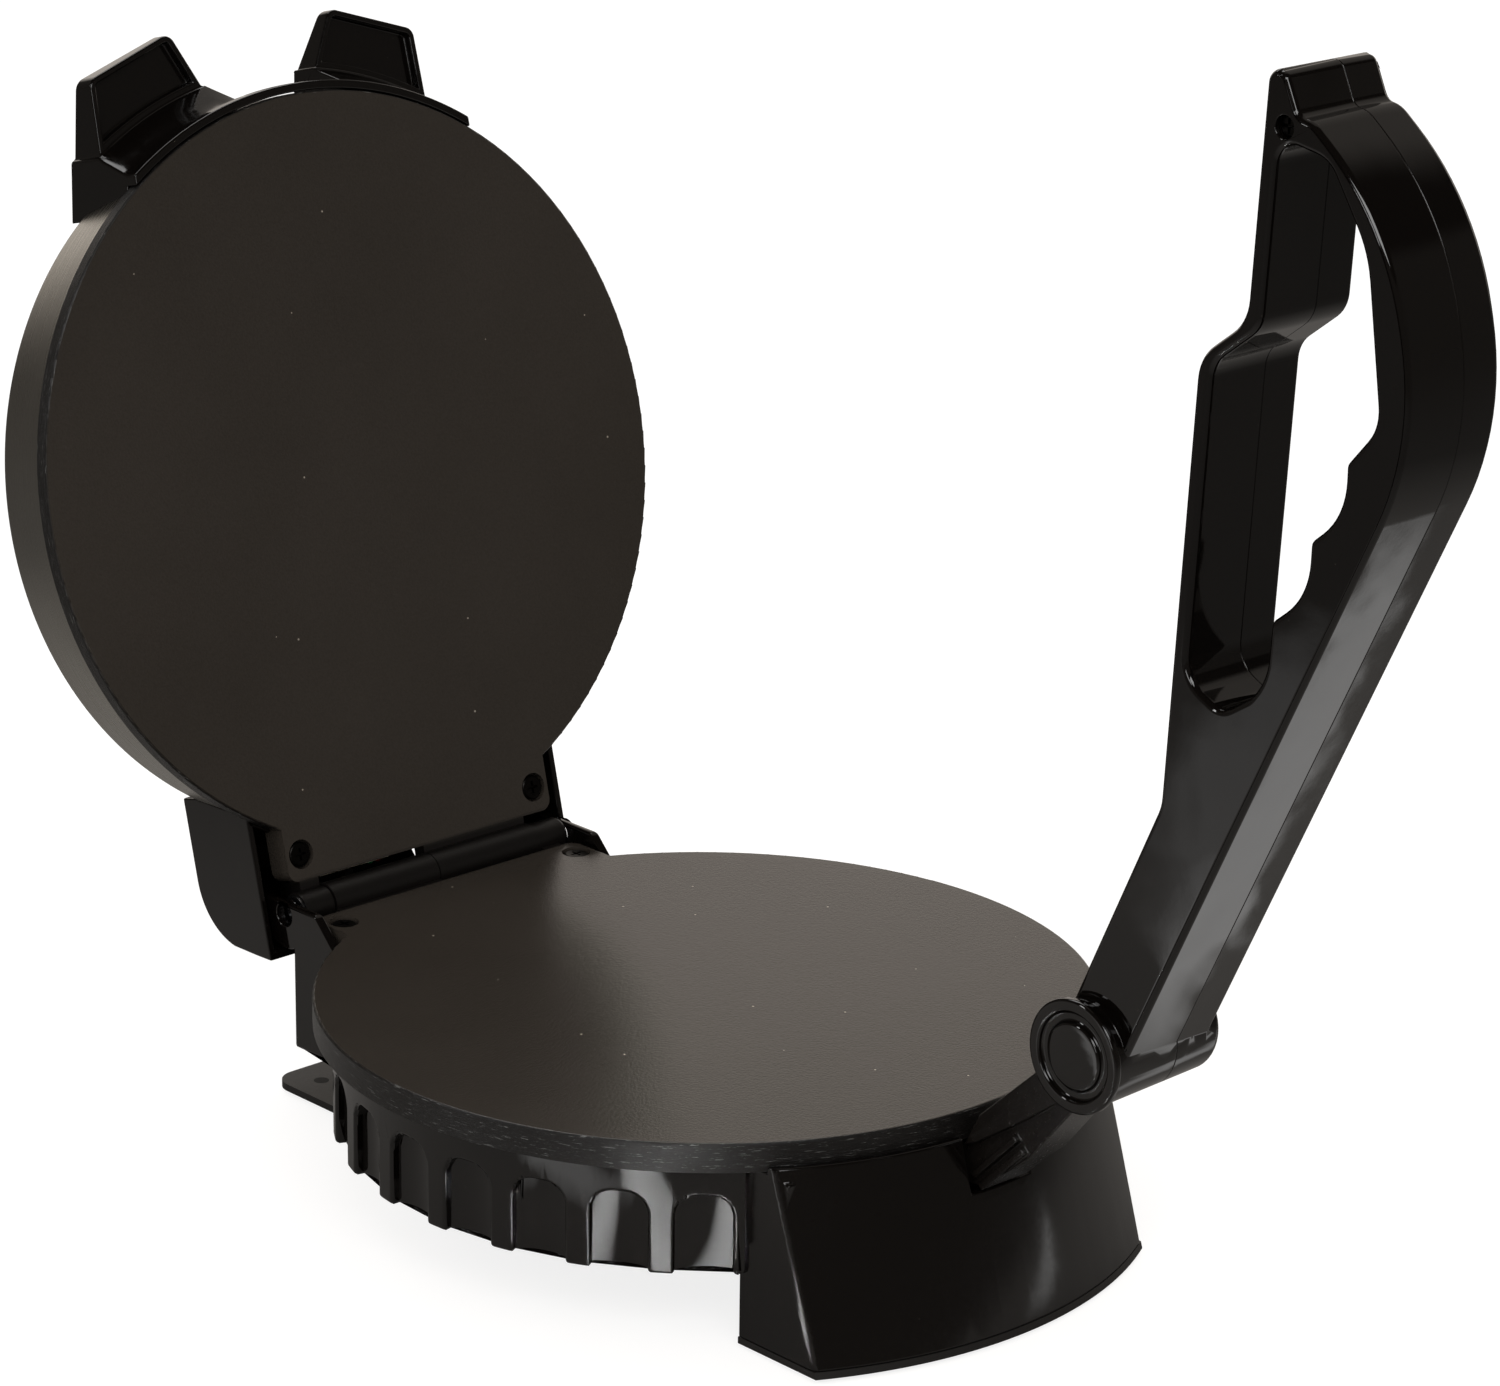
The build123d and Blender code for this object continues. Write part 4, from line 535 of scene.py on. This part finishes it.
# The dish is drawn up ring by ring, as radius and height over the closed plates' faces.
LID_FACE, SHEET = 0.0721, 0.001
DISH = ((0.1261, 0.0052), (0.1256, 0.0064), (0.12131, 0.0316), (0.12085, 0.0330),
        (0.1197, 0.0342), (0.1180, 0.0347), (0.1080, 0.0353), (0.0900, 0.0362),
        (0.0680, 0.0370), (0.0450, 0.0376), (0.0220, 0.0379))
bpy.ops.object.select_all(action="DESELECT")
bpy.ops.mesh.primitive_circle_add(
    vertices=256, radius=DISH[0][0],
    location=PLATE_CENTRE + Vector((0, 0, LID_FACE + DISH[0][1])))
dish = bpy.context.object
bpy.ops.object.transform_apply(location=True, rotation=True, scale=True)
pick(dish, "VERT", lambda at, normal: True)
for (r0, h0), (r1, h1) in zip(DISH, DISH[1:]):
    bpy.ops.mesh.extrude_region_move(TRANSFORM_OT_translate={"value": (0, 0, h1 - h0)})
    bpy.ops.transform.resize(value=(r1 / r0, r1 / r0, 1),
                             center_override=PLATE_CENTRE + Vector((0, 0, LID_FACE + h1)))
bpy.ops.mesh.edge_face_add()
bpy.ops.mesh.poke()
bpy.ops.mesh.select_all(action="SELECT")
bpy.ops.mesh.normals_make_consistent(inside=False)
bpy.ops.object.mode_set(mode="OBJECT")
modify(dish, "SOLIDIFY", thickness=SHEET, offset=-1)
# Two windows in its rear wall let the plate's tongue and the lid's leads through: half width,
# front, back, low and high.
for half_width, front, rear, low, high in ((0.0583, 0.06, 0.14, -0.001, 0.0103),
                                           (0.030, 0.10, 0.14, 0.0205, 0.032)):
    cut(dish, block(PLATE_CENTRE + Vector((0, (front + rear) / 2, LID_FACE + (low + high) / 2)),
                    (2 * half_width, rear - front, high - low)))
dish.data.transform(open_lid)
only(dish)
bpy.ops.object.shade_smooth_by_angle(angle=radians(40))
modify(dish, "WEIGHTED_NORMAL", keep_sharp=True)
settle(dish, "lid_steel_dish", "lid", "steel_cover", steel, "lid_cover")

# Rear housing of the lid: a black ABS box round the hinge, with the vent and the two neon
# lights behind tinted lenses.
box = merged_copy("lid_rear_housing")
round_edges(box, 0.0007)
settle(box, "lid_hinge_housing", "lid", "black_plastic", satin_abs, "lid_rear_housing")
# Acrylic lens: clear and glossy, with a faint swirl of 1 mm and a weak glow from within.
for name, lens_name, dark, light in (("green_light", "green_acrylic_lens", "#0a5a2e", "#2fd07c"),
                                     ("red_light", "red_acrylic_lens", "#5a0d0a", "#d0352f")):
    lens, t, place = new_finish(lens_name)
    swirl = add(t, "ShaderNodeTexNoise", {
        "Vector": place, "Scale": 900.0, "Detail": 2.0}).outputs["Fac"]
    tint = add(t, "ShaderNodeMix", {0: swirl, 6: tone(dark), 7: tone(light)}, data_type="RGBA")
    ripple = add(t, "ShaderNodeBump", {"Height": swirl, "Strength": 0.1, "Distance": 0.0002})
    dress(coat(lens, t, Base_Color=tint.outputs[2], Roughness=0.08, IOR=1.49,
               Normal=ripple.outputs["Normal"], Emission_Color=tone(light),
               Emission_Strength=0.35), name)

# Front clip: a black ABS band snapped round the lid's front edge, with two hollowed horns
# that lift the hot lid.
clip = merged_copy("lid_front_clip")
round_edges(clip, 0.0007)
settle(clip, "lid_lifting_horns", "lid", "black_plastic", satin_abs, "lid_front_clip")

# Lid lead: the sleeved flex that leaves the neck under the hinge and goes up into the lid's
# rear housing. Its points are from the plates' axis.
LEAD_RADIUS = 0.0026
LEAD = ((-0.018, 0.1282, 0.0475), (-0.018, 0.1345, 0.0609), (-0.018, 0.1503, 0.0613),
        (-0.016, 0.1652, 0.0623), (-0.0136, 0.1690, 0.0677))
route = bpy.data.curves.new("lead_route", "CURVE")
route.dimensions = "3D"
spline = route.splines.new("NURBS")
spline.points.add(len(LEAD) - 1)
for point, at in zip(spline.points, LEAD):
    point.co = (*(Vector(at) + PLATE_CENTRE), 1)
spline.order_u = 3
spline.use_endpoint_u = True
spline.resolution_u = 12
route.bevel_depth, route.bevel_resolution, route.use_fill_caps = LEAD_RADIUS, 6, True
lead = bpy.data.objects.new("lead_route", route)
bpy.context.scene.collection.objects.link(lead)
only(lead)
bpy.ops.object.convert(target="MESH")
lead = bpy.context.object
bpy.ops.object.shade_smooth()
lead.name = "hinge_lead"
lead.data.materials.clear()
# Black glass-fibre sleeving: matt, with a weave about 1 mm across, drawn as small ridges.
lead.data.materials.append(plain_finish("black_glass_sleeve", "#1a1816", "#2d2a27", 0.0011, 0.7,
                                        grain=0.8, depth=0.0004))
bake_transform(lead)
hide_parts("lid_lead")

# Camera where the photograph was taken from: left of the front, looking down a little.
CAMERA_PLACE, FOCAL_LENGTH, SENSOR = (-1.056, -1.11636, 0.6915), 124.34, 36.0
azimuth, elevation, roll = radians(-43.18), radians(18.46), radians(0.72)
back = Vector((sin(azimuth) * cos(elevation), -cos(azimuth) * cos(elevation), sin(elevation)))
sideways = Vector((cos(azimuth), sin(azimuth), 0))
upright = back.cross(sideways)
right = sideways * cos(roll) + upright * sin(roll)
above = upright * cos(roll) - sideways * sin(roll)
view = bpy.data.cameras.new("camera")
view.lens, view.sensor_width, view.clip_end = FOCAL_LENGTH, SENSOR, 30.0
camera = bpy.data.objects.new("camera", view)
bpy.context.scene.collection.objects.link(camera)
camera.matrix_world = (Matrix.Translation(CAMERA_PLACE)
                       @ Matrix((right, above, back)).transposed().to_4x4())
bpy.context.scene.camera = camera


# Studio lamps: a tall soft box at the left front, a wide one over the camera, two behind that
# edge the mouldings, and a narrow one straight down, whose spot on the floor the flutes mirror.
def soft_box(name, place, aim, width, height, power, spread=180):
    """Rectangular lamp at a place, turned towards a point."""
    lamp = bpy.data.lights.new(name, "AREA")
    lamp.shape, lamp.size, lamp.size_y, lamp.energy = "RECTANGLE", width, height, power
    lamp.spread = radians(spread)
    stand = bpy.data.objects.new(name, lamp)
    bpy.context.scene.collection.objects.link(stand)
    stand.location = place
    stand.rotation_euler = (Vector(aim) - Vector(place)).to_track_quat("-Z", "Y").to_euler()
    return stand


soft_box("lamp_left_front", (-1.55, -0.8, 0.72), (0, 0, 0.12), 0.35, 0.9, 4.5)
soft_box("lamp_over_camera", (-0.85, -1.2, 1.35), (0, 0, 0.12), 0.9, 0.6, 9)
soft_box("lamp_overhead_back", (0.35, 0.85, 1.4), (0, 0, 0.1), 1.2, 0.5, 5)
soft_box("lamp_left_back", (-1.5, 0.75, 1.0), (0, 0, 0.15), 0.2, 0.8, 4)
glint = soft_box("lamp_glint", (-0.175, -0.1, 0.6), (-0.175, -0.1, 0), 0.02, 0.13, 0.9, spread=3)
glint.rotation_euler = (0, 0, radians(107))


# Floor: a sweep of matt paper. The camera sees it white, a little less so close to the
# object, where it keeps the object's shadow. Its own grey keeps the black mouldings black, and
# gloss sees three painted pools of light on it, two at the left and one under the lever.
def seen_directly(tree):
    """What the ray is, and whether the camera sees the surface, straight or through glass."""
    ray = add(tree, "ShaderNodeLightPath", {})
    seen = add(tree, "ShaderNodeMath", {
        0: ray.outputs["Is Camera Ray"], 1: ray.outputs["Is Transmission Ray"]},
        operation="MAXIMUM").outputs["Value"]
    return ray, seen


bpy.ops.object.select_all(action="DESELECT")
bpy.ops.mesh.primitive_plane_add(size=24, location=(0, 0, 0))
floor = bpy.context.object
floor.name = "floor"
# Paper: matt fibres of 2.5 mm, mid grey, and darker well away from the object, as painted shade
# for floor the lamps leave dim.
paper, t, place = new_finish("paper_sweep")
fibre = add(t, "ShaderNodeTexNoise", {
    "Vector": place, "Scale": 400.0, "Detail": 2.0}).outputs["Fac"]
near = add(t, "ShaderNodeMix", {0: fibre, 6: tone("#8a8a8a"), 7: tone("#8e8e8e")},
           data_type="RGBA").outputs[2]
away = add(t, "ShaderNodeVectorMath", {0: place}, operation="LENGTH").outputs["Value"]
outer = add(t, "ShaderNodeMapRange", {
    "Value": away, "From Min": 0.35, "From Max": 0.75}).outputs["Result"]
# Painted shade: the far paper is drawn darker.
grey = add(t, "ShaderNodeMix", {0: outer, 6: near, 7: tone("#5c5c5c")},
           data_type="RGBA").outputs[2]
ray, seen = seen_directly(t)
far = add(t, "ShaderNodeMapRange", {
    "Value": away, "From Min": 0.3, "From Max": 0.6, "To Min": 0.82, "To Max": 1.0})
glow = add(t, "ShaderNodeMath", {0: seen, 1: far.outputs["Result"]},
           operation="MULTIPLY").outputs["Value"]
# Painted pools of light that only gloss sees: ovals with soft and slightly wavy edges, as
# middle, turn, half length, half width and brightness.
LIGHT_POOLS = (((-0.285, 0.035, 0), 133, 0.15, 0.03, 1.0), ((-0.47, 0.185, 0), 145, 0.19, 0.05, 0.4),
         ((0.225, -0.25, 0), -30, 0.15, 0.018, 1.0))
wave = add(t, "ShaderNodeTexNoise", {
    "Vector": place, "Scale": 28.0, "Detail": 3.0}).outputs["Color"]
wavy = add(t, "ShaderNodeVectorMath", {0: wave, 1: (0.03, 0.03, 0), 2: place},
           operation="MULTIPLY_ADD").outputs["Vector"]
for middle, turn, half_length, half_width, brightness in LIGHT_POOLS:
    pool = add(t, "ShaderNodeMapping", {
        "Vector": wavy, "Location": middle, "Rotation": (0, 0, radians(turn)),
        "Scale": (half_length, half_width, 1)}, vector_type="TEXTURE").outputs["Vector"]
    off = add(t, "ShaderNodeVectorMath", {0: pool}, operation="LENGTH").outputs["Value"]
    pool = add(t, "ShaderNodeMapRange", {
        "Value": off, "From Min": 0.7, "From Max": 1.2, "To Min": brightness, "To Max": 0.0})
    # Painted light: each pool glows for glossy rays only.
    pool = add(t, "ShaderNodeMath", {
        0: pool.outputs["Result"], 1: ray.outputs["Is Glossy Ray"]}, operation="MULTIPLY")
    glow = add(t, "ShaderNodeMath", {0: glow, 1: pool.outputs["Value"]},
               operation="MAXIMUM").outputs["Value"]
coat(paper, t, Base_Color=grey, Roughness=0.95, Specular_IOR_Level=0.0,
     Emission_Color=tone("#ffffff"), Emission_Strength=glow)
floor.data.materials.append(paper)
floor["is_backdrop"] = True

# World: white where the camera looks. Gloss and metal see a white backdrop behind and to the
# right of the object, as in the photograph, and a dim room elsewhere. Matt surfaces get even
# light from all round.
BACKDROP = (0.82, 0.572, 0)
world = bpy.data.worlds.new("studio")
world.use_nodes = True
t = world.node_tree
t.nodes.clear()
direction = add(t, "ShaderNodeTexCoord", {}).outputs["Generated"]
level = add(t, "ShaderNodeVectorMath", {0: direction, 1: (1, 1, 0)},
            operation="MULTIPLY").outputs["Vector"]
heading = add(t, "ShaderNodeVectorMath", {0: level}, operation="NORMALIZE").outputs["Vector"]
facing = add(t, "ShaderNodeVectorMath", {0: heading, 1: BACKDROP},
             operation="DOT_PRODUCT").outputs["Value"]
room = add(t, "ShaderNodeMapRange", {
    "Value": facing, "From Min": 0.52, "From Max": 0.76, "To Min": 0.09, "To Max": 0.95},
    interpolation_type="SMOOTHSTEP")
height = add(t, "ShaderNodeSeparateXYZ", {"Vector": direction}).outputs["Z"]
lower = add(t, "ShaderNodeMapRange", {
    "Value": height, "From Min": 0.35, "From Max": 0.43, "To Min": 1.0, "To Max": 0.3},
    interpolation_type="SMOOTHSTEP")
room = add(t, "ShaderNodeMath", {0: room.outputs["Result"], 1: lower.outputs["Result"]},
           operation="MULTIPLY")
ray, seen = seen_directly(t)
dimmed = add(t, "ShaderNodeMix", {
    0: ray.outputs["Is Diffuse Ray"], 2: room.outputs["Value"], 3: 0.85}).outputs[0]
strength = add(t, "ShaderNodeMix", {0: seen, 2: dimmed, 3: 1.0}).outputs[0]
warmth = add(t, "ShaderNodeMix", {0: seen, 6: tone("#fff5ea"), 7: tone("#ffffff")},
             data_type="RGBA").outputs[2]
sky = add(t, "ShaderNodeBackground", {"Color": warmth, "Strength": strength})
add(t, "ShaderNodeOutputWorld", {"Surface": sky.outputs["Background"]})
bpy.context.scene.world = world
bpy.context.scene.view_settings.view_transform = "Standard"

low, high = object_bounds()
